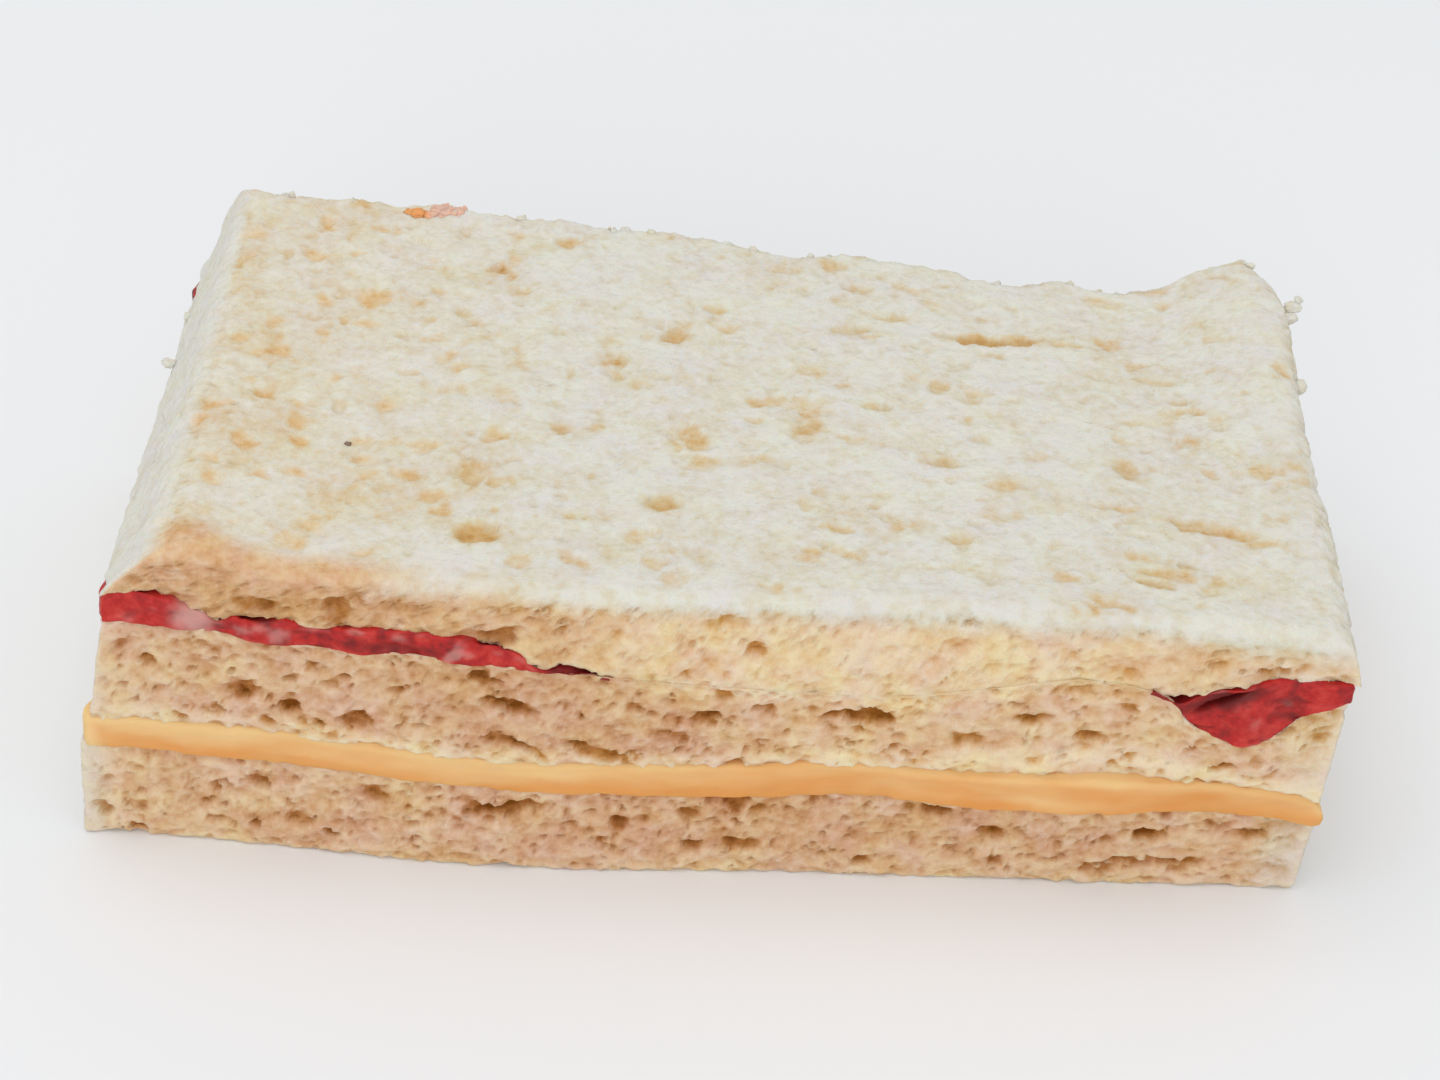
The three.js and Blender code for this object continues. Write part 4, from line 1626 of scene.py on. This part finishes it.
    def smeared(self, outward: Array) -> Array:
        """Return 1 on the sloping left end, where the crumb is smeared shut, and 0 elsewhere."""
        return smoothstep(-outward[:, 0], *self.smeared_turn)

    def fine_depth(self, points: Array) -> Array:
        """Return the depth of the fine crumb, which is shallower on the top than on the cut sides."""
        on_top = smoothstep(points[:, 2] - self.upper(points[:, 0], points[:, 1]), *self.skin_depths)
        return super().fine_depth(points) * (1 - 0.35 * on_top)

    def calm(self, shares: Array, points: Array, outward: Array) -> Array:
        """Work out how open the crumb is.

        Args:
            shares: each corner's shares of the box.
            points: the smooth form.
            outward: unit directions out of it.

        Returns:
            1 on open crumb, less on the rims and least on the sloping left end.
        """
        front_rim = bump(points[:, 1], self.form.front + 0.5, 2.5)
        front_rim = front_rim * smoothstep(outward[:, 2], *self.rim_turn)
        closed = (1 - 0.7 * self.smeared(outward)) * (1 - 0.75 * front_rim)
        return closed * super().calm(shares, points, outward)

    def tones(self, points: Array, outward: Array) -> tuple[Array, Array, Array]:
        """Colour the crumb.

        The cut side's colours, which are painted shade, begin at a depth below the top, which is less
        round x = -20 mm; at the left they reach over the front rim as the painted shade of a slope.

        Args:
            points: the smooth form.
            outward: unit directions out of it.

        Returns:
            How warm, how yellow and how dim each corner is.
        """
        x, y, z = points.T
        wander = layered_noise(points, 6.0, 130)
        drop = self.upper(x, y) - z + 0.5 * wander
        early = bump(x, -20.0, 9.0)
        side = smoothstep(drop, lerp(0.6, 0.0, early), lerp(3.2, 1.8, early))
        start = lerp(*self.shaded_rim_reach, smoothstep(x, *self.shaded_rim_wider))
        shaded_rim = smoothstep(x, *self.shaded_rim_from) * smoothstep(-y + 1.2 * wander - start, 0.0, 3.2)
        smeared = self.smeared(outward)
        pressed = self.pressed(outward)
        cut = np.maximum(side * (1 - 0.4 * smoothstep(x, *self.pale_right)), shaded_rim) * (1 - smeared)
        middle = smoothstep(x + 3 * wander, *self.yellow_from) * (1 - 0.5 * smoothstep(x, *self.less_yellow))
        left = smoothstep(x - 4 * wander, *self.warm_left)
        cream = np.maximum.reduce([side * (0.15 + 0.65 * middle), 0.18 * shaded_rim, 0.16 * left, 0.1 * wander])
        # Painted shade on the sloping rim and round x = -20 mm, and painted light on the bulging front round
        # x = 12 mm; the last two terms darken the left and the right.
        dim = 0.1 * shaded_rim + 0.14 * side * early - 0.08 * side * bump(x, 12.0, 12.0)
        dim = dim + 0.12 * left * (1 - smeared) + 0.06 * side * smoothstep(x, *self.dim_right)
        return cut * (1 - pressed), np.clip(cream, 0.0, 1.0) * (1 - np.maximum(smeared, pressed)), dim

    def crater_shade(self, points: Array) -> Array:
        """Work out how ochre the craters make each point, partly the crumb's colour and partly painted
        shade.

        It is exp(-r^4) times a share of the crater's depth, where r is 1 on the crater's ragged oval rim.

        Args:
            points: places on the top.

        Returns:
            The shade at each point.
        """
        ragged = points[:, :2] + 0.9 * noise_columns(points, 1.6, (195, 200))
        shade = np.zeros(len(points))
        for x, y, length, width, depth, turn in self.craters:
            dx, dy = ragged[:, 0] - x, ragged[:, 1] - y
            along = (dx * np.cos(turn) + dy * np.sin(turn)) / length
            across = (dy * np.cos(turn) - dx * np.sin(turn)) / width
            shade = np.maximum(shade, 0.24 * depth * np.exp(-((along**2 + across**2) ** 2)))
        return shade

    def dotting(self, points: Array) -> tuple[Array, Array]:
        """Work out where the soft pits of the top lie.

        The pits are bubbles cut in one plane, in a space that is drawn out along X towards the right,
        turned, and shifted by wide and narrow swells.

        Args:
            points: places on the top.

        Returns:
            A slow swell in that space, and how far inside a pit each point lies.
        """
        x, y = points[:, 0], points[:, 1]
        level = np.full_like(x, 0.5 * self.dots.spacing)
        drawn = np.stack([np.where(x < 0, x, 0.6 * x), 1.1 * y, level], axis=1)
        narrow = noise_columns(points, 1.3, (160, 161), 1)
        wide = noise_columns(points, 6.5, (163, 164), 1)
        shift = 0.9 * narrow + 1.8 * wide
        turned = drawn.copy()
        turned[:, 0] += shift[:, 0] + 0.45 * y
        turned[:, 1] += shift[:, 1] - 0.45 * drawn[:, 0]
        _, inside = self.dots.openings(turned, np.tile((0.0, 0.0, -1.0), (len(points), 1)))
        return layered_noise(drawn, 5.0, 180), inside

    def finish_surface(self, shares: Array, points: Array, outward: Array) -> tuple[Array, Marks]:
        """Dot the top with soft ochre pits, partly painted shade and more orange towards the left, and tear
        its back rim.

        Args:
            shares: each corner's shares of the box.
            points: the smooth form.
            outward: unit directions out of it.

        Returns:
            The corners in place, and the marks "pore", "cut" and "cream".
        """
        moved, marks = super().finish_surface(shares, points, outward)
        on_top = smoothstep(outward[:, 2], *self.top_turn)
        left = smoothstep(points[:, 0] - 5 * layered_noise(points, 6.0, 150), *self.orange_left)
        swell, inside = self.dotting(points)
        dots = on_top * smoothstep(inside, 0.0, 0.9) * smoothstep(swell + 0.3 * left, -0.7, 0.3)
        moved = moved - outward * (0.2 * dots + 0.12 * on_top * swell)[:, None]
        near, far = self.torn_reach
        at_back = smoothstep(points[:, 1], self.form.back - near, self.form.back - far)
        moved = moved + outward * (0.45 * at_back * layered_noise(points, 2.4, 190))[:, None]
        # Painted shade, over the crumb's ochre, in the pits, the craters and the deep pores, warmer in the
        # deepest.
        pore = np.clip(marks["pore"] + on_top * (0.2 * swell + 0.02) + (0.33 - 0.12 * left) * dots, 0.0, 1.0)
        pore = pore + on_top * self.crater_shade(points) * (1 - pore)
        deep = on_top * smoothstep(pore, 0.45, 0.8) * (0.15 + 0.3 * left)
        marks["pore"] = pore * (1 - 0.7 * self.smeared(outward))
        marks["cream"] = np.maximum.reduce([marks["cream"], dots * (0.2 + 0.4 * left), deep])
        return moved, marks


@dataclass
class CheeseSlice(Layer):
    """The slice of cheese, with soft round rims that stand a little proud of the bread.

    Its lip is where its front hangs out furthest: how far, the place along X and the width.
    """

    node: str = "cheese_slice"
    name: str = "cheese_slice_waxy"
    shell: Shell = Shell((360, 184, 16))
    foot_radius: float = 0.35
    head_radius: float = 0.4
    slot: str = "cheese"
    lip: Triple = (0.9, 31.0, 9.0)
    # Where each change of height or colour begins and where it is complete.
    sag_right: Span = (50.2, 52.4)
    pale_left: Span = (-50.4, -52.4)
    painted_light_range: Span = (-0.1, 1.2)
    deep_colour_from: Span = (-35.0, -10.0)
    # How much painted highlight the ledge takes, its place along X and its width.
    ledge: Triple = (0.22, 31.0, 14.0)

    def left(self, v: Array, w: Array) -> Array:
        """Return where the left end stands along X, furthest out beside the front corner."""
        return -53.0 + 1.0 * smoothstep(v, 0.015, 0.07) + 0.4 * (1 - smoothstep(v, 0.0, 0.02))

    def right(self, v: Array, w: Array) -> Array:
        """Return where the right end stands along X."""
        return 52.3 - 0.4 * v

    def front(self, x: Array) -> Array:
        """Return how far the front cut stands behind the bowed line, which is less than nothing."""
        return -0.2 - 0.1 * np.sin(0.4 * x) - self.lip[0] * bump(x, self.lip[1], self.lip[2])

    def back(self, x: Array, w: Array) -> Array:
        """Return how far the back cut stands behind its straight line."""
        return 0.3 + 0.1 * np.sin(0.5 * x)

    def lower(self, x: Array, y: Array) -> Array:
        """Return the height of the cheese's underside."""
        return self.form.cheese_underside(x, y)

    def upper(self, x: Array, y: Array) -> Array:
        """Return the height of the cheese's top, which slopes down at the right end."""
        return self.form.cheese_top(x, y) - 1.1 * smoothstep(x, *self.sag_right) ** 2

    def finish_surface(self, shares: Array, points: Array, outward: Array) -> tuple[Array, Marks]:
        """Give the cheese slow swells and a wandering edge, and paint light on it, paler upwards and in a
        highlight band on the ledge.

        Args:
            shares: each corner's shares of the box.
            points: the smooth form.
            outward: unit directions out of it.

        Returns:
            The corners in place, and the mark "pale".
        """
        x = points[:, 0]
        wide = layered_noise(points * (0.4, 1, 2.5), 2.5, 300)
        swell = 0.2 * wide + 0.08 * layered_noise(points, 0.9, 301, 2)
        moved = points + outward * (swell + 0.05)[:, None]
        edge = layered_noise(points * (0.7, 1, 0.3), 3.5, 306)
        edge = edge + 0.5 * layered_noise(points * (1, 1, 0.3), 1.2, 309)
        moved[:, 2] += 0.35 * edge
        # Painted light: paler upwards, where the round rim faces the light, and in a highlight band; from x
        # = -35 mm rightwards it reaches less far down.
        wander = 0.7 * layered_noise(points * (0.3, 1, 1.6), 2.5, 305)
        lower = 0.27 * smoothstep(x, *self.deep_colour_from)
        ledge = self.ledge[0] * bump(x, self.ledge[1], self.ledge[2])
        pale = smoothstep(crowded(shares) + wander + ledge - lower, *self.painted_light_range)
        return moved, {"pale": np.maximum(pale, smoothstep(x, *self.pale_left))}


@dataclass(frozen=True)
class Patch:
    """A soft-edged oval on the front cut: its middle and half sizes along X and Z, its tilt and strength."""

    x: float
    z: float
    length: float
    height: float
    tilt: float = 0.0
    strength: float = 1.0

    def share(self, points: Array) -> Array:
        """Work out the patch's strength at each point: exp(-r^4), where r is 1 on the oval.

        Args:
            points: places on the cut.

        Returns:
            The strength at each point.
        """
        dx, dz = points[:, 0] - self.x, points[:, 2] - self.z
        along = dx * np.cos(self.tilt) + dz * np.sin(self.tilt)
        across = dz * np.cos(self.tilt) - dx * np.sin(self.tilt)
        return self.strength * np.exp(-(((along / self.length) ** 2 + (across / self.height) ** 2) ** 2))


@dataclass
class SalamiSlice(Layer):
    """A slice of salami, whose cut edge is ragged and marbled with fat."""

    slot: str = "salami"
    fat_patches: tuple[Patch, ...] = ()
    shade_patches: tuple[Patch, ...] = ()
    # Where the front cut, an end's turn to X and the painted shade at an end's back begin and where
    # they are complete.
    front_reach: Span = (-22.0, -24.0)
    end_turn: Span = (0.3, 0.7)
    shaded_end: Span = (12.0, 18.0)

    def lower(self, x: Array, y: Array) -> Array:
        """Return the height of the salami's underside."""
        return self.form.middle_top(x, y)

    def finish_surface(self, shares: Array, points: Array, outward: Array) -> tuple[Array, Marks]:
        """Roughen the cut edge, sink its shaded patches and mark where it is fat or dark, the dark partly
        painted shade.

        Args:
            shares: each corner's shares of the box.
            points: the smooth form.
            outward: unit directions out of it.

        Returns:
            The corners in place, and the marks "fat" and "dark".
        """
        ragged = points + 0.6 * noise_columns(points, 1.0, (340, 345, 350))
        at_front = smoothstep(points[:, 1], *self.front_reach)
        fibre = layered_noise(points * (0.6, 1, 1.6), 1.2, 310)
        fleck = layered_noise(points * (0.8, 1, 1.3), 1.3, 330, 2)
        fat = 0.4 * smoothstep(fleck, 0.2, 0.7)
        dark = 0.6 * smoothstep(-fibre, 0.1, 0.55)
        for patch in self.fat_patches:
            fat = np.maximum(fat, at_front * patch.share(ragged))
            dark = dark * (1 - at_front * patch.share(points))
        # The shade patches are painted shade in the gaps and hollows along the front edge.
        sunk = np.zeros(len(points))
        for patch in self.shade_patches:
            sunk = np.maximum(sunk, at_front * patch.share(ragged))
        at_end = smoothstep(np.abs(outward[:, 0]), *self.end_turn)
        rough = (1 - 0.6 * at_end) * (0.3 * fibre + 0.2 * fleck)
        moved = points + outward * (rough - 0.1 - 0.45 * sunk)[:, None]
        # The ends darken towards the back with painted shade.
        sunk = np.maximum(sunk, 0.85 * at_end * smoothstep(points[:, 1], *self.shaded_end))
        return moved, {"fat": fat * (1 - sunk), "dark": np.maximum(dark, sunk)}


@dataclass
class FlatSalami(SalamiSlice):
    """The flat slice at the left: part of a disc, cut off by the sides of the sandwich."""

    node: str = "salami_flat"
    name: str = "salami_flat_marbled"
    shell: Shell = Shell((200, 200, 16))
    foot_radius: float = 0.4
    head_radius: float = 0.4
    fat_patches: tuple[Patch, ...] = (
        Patch(-43.2, 23.9, 1.9, 1.6, -0.2, 0.9),
        Patch(-36.4, 22.9, 0.9, 0.6, -0.3, 0.5),
        Patch(-22.1, 22.4, 0.5, 1.6, -0.6, 0.6),
        Patch(-39.2, 23.2, 0.8, 0.5, 0, 0.4),
    )
    shade_patches: tuple[Patch, ...] = (
        Patch(-38.4, 24.8, 2.2, 0.6, -0.2, 0.9),
        Patch(-31.5, 25.0, 1.6, 0.7, 0, 0.6),
        Patch(-27.0, 22.4, 4.0, 0.6, 0, 0.55),
        Patch(-18.6, 24.2, 1.8, 0.5, 0, 0.8),
        Patch(-10.5, 21.3, 4.5, 1.2, 0, 0.75),
    )
    margin: float = 1.2

    def left(self, v: Array, w: Array) -> Array:
        """Return where the left end stands along X, further out at the front and near the back corner."""
        corners = -50.3 - 0.9 * bump(v, 0.0, 0.058) - 0.95 * bump(v, 0.92, 0.045)
        return corners + 0.5 * (1 - smoothstep(v, 0.0, 0.02))

    def right(self, v: Array, w: Array) -> Array:
        """Return where the disc's edge stands along X."""
        y = lerp(self.form.front, self.form.back, v) - self.form.salami_centre[1]
        return self.form.salami_centre[0] + np.sqrt((self.form.salami_radius - self.margin) ** 2 - y**2)

    def front(self, x: Array) -> Array:
        """Return how far the front cut stands behind the bowed line, which is less than nothing."""
        return -0.3 - 0.25 * np.sin(0.8 * x)

    def back(self, x: Array, w: Array) -> Array:
        """Return how far the back cut stands behind its straight line."""
        return 0.3 + 0.25 * np.sin(0.6 * x)

    def upper(self, x: Array, y: Array) -> Array:
        """Return the height of the salami's top."""
        return self.lower(x, y) + self.form.flat_salami(x, y)


@dataclass
class FoldedSalami(SalamiSlice):
    """The slice at the right, folded over on itself so that its cut edge is a thick lobe.

    The groove between its two leaves is a place along X and Z on the front cut, half sizes along,
    into and up the cut, and a tilt.
    """

    node: str = "salami_folded"
    name: str = "salami_folded_marbled"
    shell: Shell = Shell((96, 200, 32))
    foot_radius: float = 0.4
    head_radius: float = 0.4
    shade_patches: tuple[Patch, ...] = (
        Patch(42.0, 21.1, 3.4, 0.9, 0.42, 0.9),
        Patch(37.0, 21.4, 2.6, 1.0, 0, 0.7),
    )
    groove: tuple[float, ...] = (42.0, 21.1, 3.6, 2.6, 0.35, -0.62)

    def left(self, v: Array, w: Array) -> Array:
        """Return where the fold stands along X."""
        return 35.2 + 0.6 * np.sin(7 * v)

    def right(self, v: Array, w: Array) -> Array:
        """Return where the right end stands along X."""
        return 52.4 - 0.4 * v + 0.2 * np.sin(9 * v)

    def front(self, x: Array) -> Array:
        """Return how far the front cut stands behind the bowed line, which is less than nothing."""
        return -0.3 - 0.3 * np.sin(0.9 * x)

    def back(self, x: Array, w: Array) -> Array:
        """Return how far the back cut stands behind its straight line."""
        return 0.3 + 0.2 * np.sin(0.7 * x)

    def upper(self, x: Array, y: Array) -> Array:
        """Return the height of the salami's top."""
        return self.lower(x, y) + self.form.folded_salami(x, y)

    def finish_surface(self, shares: Array, points: Array, outward: Array) -> tuple[Array, Marks]:
        """Roughen the cut edge and sink the groove between the two leaves of the fold.

        Args:
            shares: each corner's shares of the box.
            points: the smooth form.
            outward: unit directions out of it.

        Returns:
            The corners in place, and the marks "fat" and "dark".
        """
        moved, marks = super().finish_surface(shares, points, outward)
        x, z, length, depth, height, tilt = self.groove
        groove = Hollow((x, float(self.form.front_cut(x, z)), z), (length, depth, height), 0.0, tilt)
        sunk = groove.depth(points, -outward, np.zeros_like(points))
        moved = moved - 0.7 * outward * sunk[:, None]
        # Painted shade down in the groove between the two leaves.
        marks["dark"] = np.maximum(marks["dark"], np.clip(sunk / 1.5, 0, 1))
        return moved, marks


@dataclass
class Bits:
    """Small lumps in one piece: balls that are stretched, turned about the upright and dented.

    Each lump is its place, its three half sizes and its turn.
    """

    name: str
    slot: str
    lumps: Rows
    nodes: tuple[str, ...] = ()
    around: int = 14
    rings: int = 9
    dent: float = 0.8

    def ball(self) -> tuple[Array, Array, Array]:
        """Make a ball of radius 1 from rings of corners and a corner at each pole.

        Returns:
            The corners, the corner numbers of all the cells in one row, and how many each cell has.
        """
        turn, climb = np.meshgrid(
            2 * np.pi * np.arange(self.around) / self.around,
            np.pi * (np.arange(1, self.rings + 1) / (self.rings + 1) - 0.5),
        )
        ring = np.stack([np.cos(climb) * np.cos(turn), np.cos(climb) * np.sin(turn), np.sin(climb)], axis=2)
        points = np.concatenate([ring.reshape(-1, 3), [(0, 0, -1), (0, 0, 1)]])
        here = np.arange(self.around)
        after = (here + 1) % self.around
        row = self.around * np.arange(self.rings - 1)[:, None]
        above = row + self.around
        sides = np.stack([row + here, row + after, above + after, above + here], axis=2)
        last = self.around * (self.rings - 1)
        foot = np.stack([after, here, np.full_like(here, len(points) - 2)], axis=1)
        head = np.stack([last + here, last + after, np.full_like(here, len(points) - 1)], axis=1)
        corners = np.concatenate([sides.ravel(), foot.ravel(), head.ravel()])
        sizes = np.concatenate([np.full(sides.size // 4, 4), np.full(2 * self.around, 3)])
        return points, corners, sizes

    def rows(self) -> Array:
        """Return one row for each lump."""
        return np.array(self.lumps, float)

    def marks(self, points: Array) -> Marks:
        """Return the marks that the material reads."""
        return {}

    def build(self, material: bpy.types.Material) -> bpy.types.Object:
        """Make the piece.

        Args:
            material: the lumps' finish.

        Returns:
            The piece.
        """
        ball, corners, sizes = self.ball()
        rows = self.rows()
        half, turn = rows[:, None, 3:6], rows[:, 6:7]
        apart = (ball[None] + 10 * rows[:, None, :3]).reshape(-1, 3)
        bumpy = ball[None] * (1 + self.dent * layered_noise(apart, 0.9, 400)).reshape(len(rows), -1, 1)
        x, y, z = np.moveaxis(bumpy * half, 2, 0)
        along = x * np.cos(turn) - y * np.sin(turn)
        across = x * np.sin(turn) + y * np.cos(turn)
        points = (np.stack([along, across, z], axis=2) + rows[:, None, :3]).reshape(-1, 3)
        all_corners = (len(ball) * np.arange(len(rows))[:, None] + corners).ravel()
        all_sizes = np.tile(sizes, len(rows))
        marks = self.marks(points)
        return make_piece(self.name, points, all_corners, all_sizes, marks, material, self.slot, self.nodes)


@dataclass
class Crumbs(Bits):
    """Crumbs that hang on the rims of the top slice and on its ends: a few large ones in their places.

    The small ones are drawn along the back rim.
    """

    name: str = "crumbs_on_rims"
    slot: str = "bread"
    lumps: Rows = (
        (53.0, 21.9, 30.7, 0.9, 0.7, 0.45, 0.4),
        (52.6, 20.7, 30.3, 0.8, 0.7, 0.5, 0.9),
        (53.8, 22.7, 31.1, 0.6, 0.4, 0.3, 0.7),
        (52.5, 11.3, 28.6, 0.6, 0.8, 0.6, 0.2),
        (-50.9, 9.4, 24.7, 0.5, 0.65, 0.5, 0.5),
        (-50.5, 17.4, 24.8, 0.35, 0.5, 0.4, 0.1),
    )
    form: Form = Form()
    seed: int = 17
    along_back: int = 60
    reach: Span = (-44.0, 50.0)
    behind_rim: Span = (0.6, 1.8)
    sunk: Span = (0.35, 0.6)
    half_size: Span = (0.2, 0.4)
    stretch: Span = (0.7, 1.8)

    def rows(self) -> Array:
        """Draw the small crumbs and add the large ones.

        Returns:
            One row for each crumb.
        """
        count = self.along_back
        draw = np.random.default_rng(self.seed)
        x = draw.uniform(*self.reach, count)
        y = self.form.back + self.form.torn_edge(x) - draw.uniform(*self.behind_rim, count)
        z = self.form.top_surface(x, y) - draw.uniform(*self.sunk, count)
        half = draw.uniform(*self.half_size, (count, 1)) * draw.uniform(*self.stretch, (count, 3))
        small = np.column_stack([x, y, z, half, draw.uniform(0, np.pi, count)])
        return np.concatenate([small, self.lumps])

    def marks(self, points: Array) -> Marks:
        """Return the marks of pale crumb from the skin of the bread."""
        none = np.zeros(len(points))
        return {"pore": 0.08 + 0.1 * smooth_noise(points, 0.5, 410), "cut": none, "cream": none}


@dataclass
class TornScrap(Bits):
    """The scrap of salami on the back rim: lumps in a row, orange at the left and pink at the right."""

    name: str = "salami_scrap_torn"
    slot: str = "salami"
    lumps: Rows = (
        (-30.3, 26.6, 32.25, 0.7, 0.6, 0.3, 0.1),
        (-29.6, 26.4, 32.2, 0.7, 0.65, 0.34, 0.7),
        (-28.8, 26.5, 32.2, 0.8, 0.7, 0.36, -0.4),
        (-27.9, 26.8, 32.2, 0.9, 0.8, 0.4, 0.3),
        (-27.0, 27.0, 32.15, 0.9, 0.8, 0.42, -0.5),
        (-26.2, 27.2, 32.1, 0.8, 0.7, 0.4, -0.2),
        (-27.4, 27.6, 32.25, 0.8, 0.5, 0.35, 0.5),
        (-25.7, 27.6, 32.15, 0.45, 0.5, 0.34, 0.9),
        (-28.4, 27.1, 32.2, 0.7, 0.5, 0.32, 0.1),
    )
    nodes: tuple[str, ...] = ("salami_scrap",)
    around: int = 20
    rings: int = 13
    dent: float = 1.2
    pink_from: Span = (-29.3, -28.4)

    def marks(self, points: Array) -> Marks:
        """Return where the scrap is pink."""
        return {"fat": smoothstep(points[:, 0], *self.pink_from)}


@dataclass
class BurntSpeck(Bits):
    """One burnt grain on the top."""

    name: str = "burnt_grain"
    slot: str = "bread"
    lumps: Rows = ((-32.6, -9.4, 29.95, 0.36, 0.32, 0.24, 0.0),)


def add_posed(
    name: str, data: bpy.types.ID, right: Array, up: Array, back: Array, place: Array
) -> bpy.types.Object:
    """Put a lamp or a camera into the scene.

    Args:
        name: its name.
        data: the lamp or the camera.
        right: unit direction of its own X.
        up: unit direction of its own Y.
        back: unit direction of its own Z, away from what it faces.
        place: where it is, in metres.

    Returns:
        The object.
    """
    pose = np.eye(4)
    pose[:3, 0], pose[:3, 1], pose[:3, 2], pose[:3, 3] = right, up, back, place
    item = bpy.data.objects.new(name, data)
    item.matrix_world = Matrix(pose.tolist())
    bpy.context.scene.collection.objects.link(item)
    return item


@dataclass(frozen=True)
class Lamp:
    """A square lamp that faces the sandwich: its place and width in metres, its watts and its colour."""

    name: str
    place: Triple
    width: float
    watts: float
    colour: str

    def add(self) -> None:
        """Hang the lamp."""
        data = bpy.data.lights.new(self.name, "AREA")
        data.shape = "SQUARE"
        data.size = self.width
        data.energy = self.watts
        data.color = linear(self.colour)[:3]
        away = np.array(self.place) / np.linalg.norm(self.place)
        side = np.cross((0, 1, 0), away)
        side /= np.linalg.norm(side)
        add_posed(self.name, data, side, np.cross(away, side), away, np.array(self.place))


@dataclass
class Studio:
    """The floor, the light and the camera that looks as the photograph does.

    The camera's place is in millimetres and its angles are in degrees. Its focal length is counted in
    pixels of the photograph.
    """

    camera_place: Triple = (-9.42, -212.12, 169.74)
    azimuth: float = -2.558
    elevation: float = 36.0
    roll: float = 4.962
    focal_px: float = 2887.436
    picture_px: int = 1440
    sensor_mm: float = 36.0
    clip_m: Span = (0.01, 20.0)
    floor_mm: float = 4000.0
    room_colour: str = "#FFFFFF"
    room_strength: float = 0.7
    lamps: tuple[Lamp, ...] = (
        Lamp("overhead", (-0.14, -0.05, 1.0), 0.9, 2.9, "#FFFFFF"),
        Lamp("front_fill", (-0.1, -0.9, 0.38), 0.5, 2.1, "#F8FBFF"),
    )

    def add_floor(self, material: bpy.types.Material) -> None:
        """Lay a plain pale floor under the sandwich.

        Args:
            material: the floor's finish.
        """
        half = self.floor_mm / 2 * MM
        mesh = bpy.data.meshes.new("floor")
        corners = [(-half, -half, 0), (half, -half, 0), (half, half, 0), (-half, half, 0)]
        mesh.from_pydata(corners, [], [(0, 1, 2, 3)])
        mesh.materials.append(material)
        floor = bpy.data.objects.new("floor", mesh)
        bpy.context.scene.collection.objects.link(floor)

    def add_camera(self) -> None:
        """Set the camera where the photograph's perspective puts it."""
        a, e, r = np.radians([self.azimuth, self.elevation, self.roll])
        back = np.array([np.sin(a) * np.cos(e), -np.cos(a) * np.cos(e), np.sin(e)])
        level = np.cross(-back, (0, 0, 1))
        level /= np.linalg.norm(level)
        upright = np.cross(level, -back)
        right = np.cos(r) * level + np.sin(r) * upright
        up = np.cos(r) * upright - np.sin(r) * level
        data = bpy.data.cameras.new("camera")
        data.sensor_width = self.sensor_mm
        data.lens = self.focal_px / self.picture_px * self.sensor_mm
        data.clip_start, data.clip_end = self.clip_m
        place = np.array(self.camera_place) * MM
        bpy.context.scene.camera = add_posed("camera", data, right, up, back, place)

    def add_surroundings(self) -> None:
        """Fill the room with even pale light and show colours as they are."""
        world = bpy.data.worlds.new("room")
        world.use_nodes = True
        background = world.node_tree.nodes["Background"]
        background.inputs["Color"].default_value = linear(self.room_colour)
        background.inputs["Strength"].default_value = self.room_strength
        bpy.context.scene.world = world
        bpy.context.scene.view_settings.view_transform = "Standard"

    def build(self) -> None:
        """Set up the room, the floor, the lamps and the camera."""
        self.add_surroundings()
        self.add_floor(PALE_BOARD.material())
        for lamp in self.lamps:
            lamp.add()
        self.add_camera()


def main() -> None:
    """Build the sandwich from the table upwards, report its pieces, and set up the studio."""
    form = Form()
    bread = BreadCrumb().material()
    cheese = ProcessedCheese().material()
    salami = CuredSalami().material()
    pieces = (
        BreadBottom(form).build(bread),
        CheeseSlice(form).build(cheese),
        BreadMiddle(form).build(bread),
        FlatSalami(form).build(salami),
        FoldedSalami(form).build(salami),
        BreadTop(form).build(bread),
        Crumbs(form=form).build(bread),
        TornScrap().build(OilyScrap().material()),
        BurntSpeck().build(BURNT_GRAIN.material()),
    )
    for piece in pieces:
        log.info("%s: %d corners, %d cells", piece.name, len(piece.data.vertices), len(piece.data.polygons))
    Studio().build()


if __name__ == "__main__":
    logging.basicConfig(level=logging.INFO)
    main()
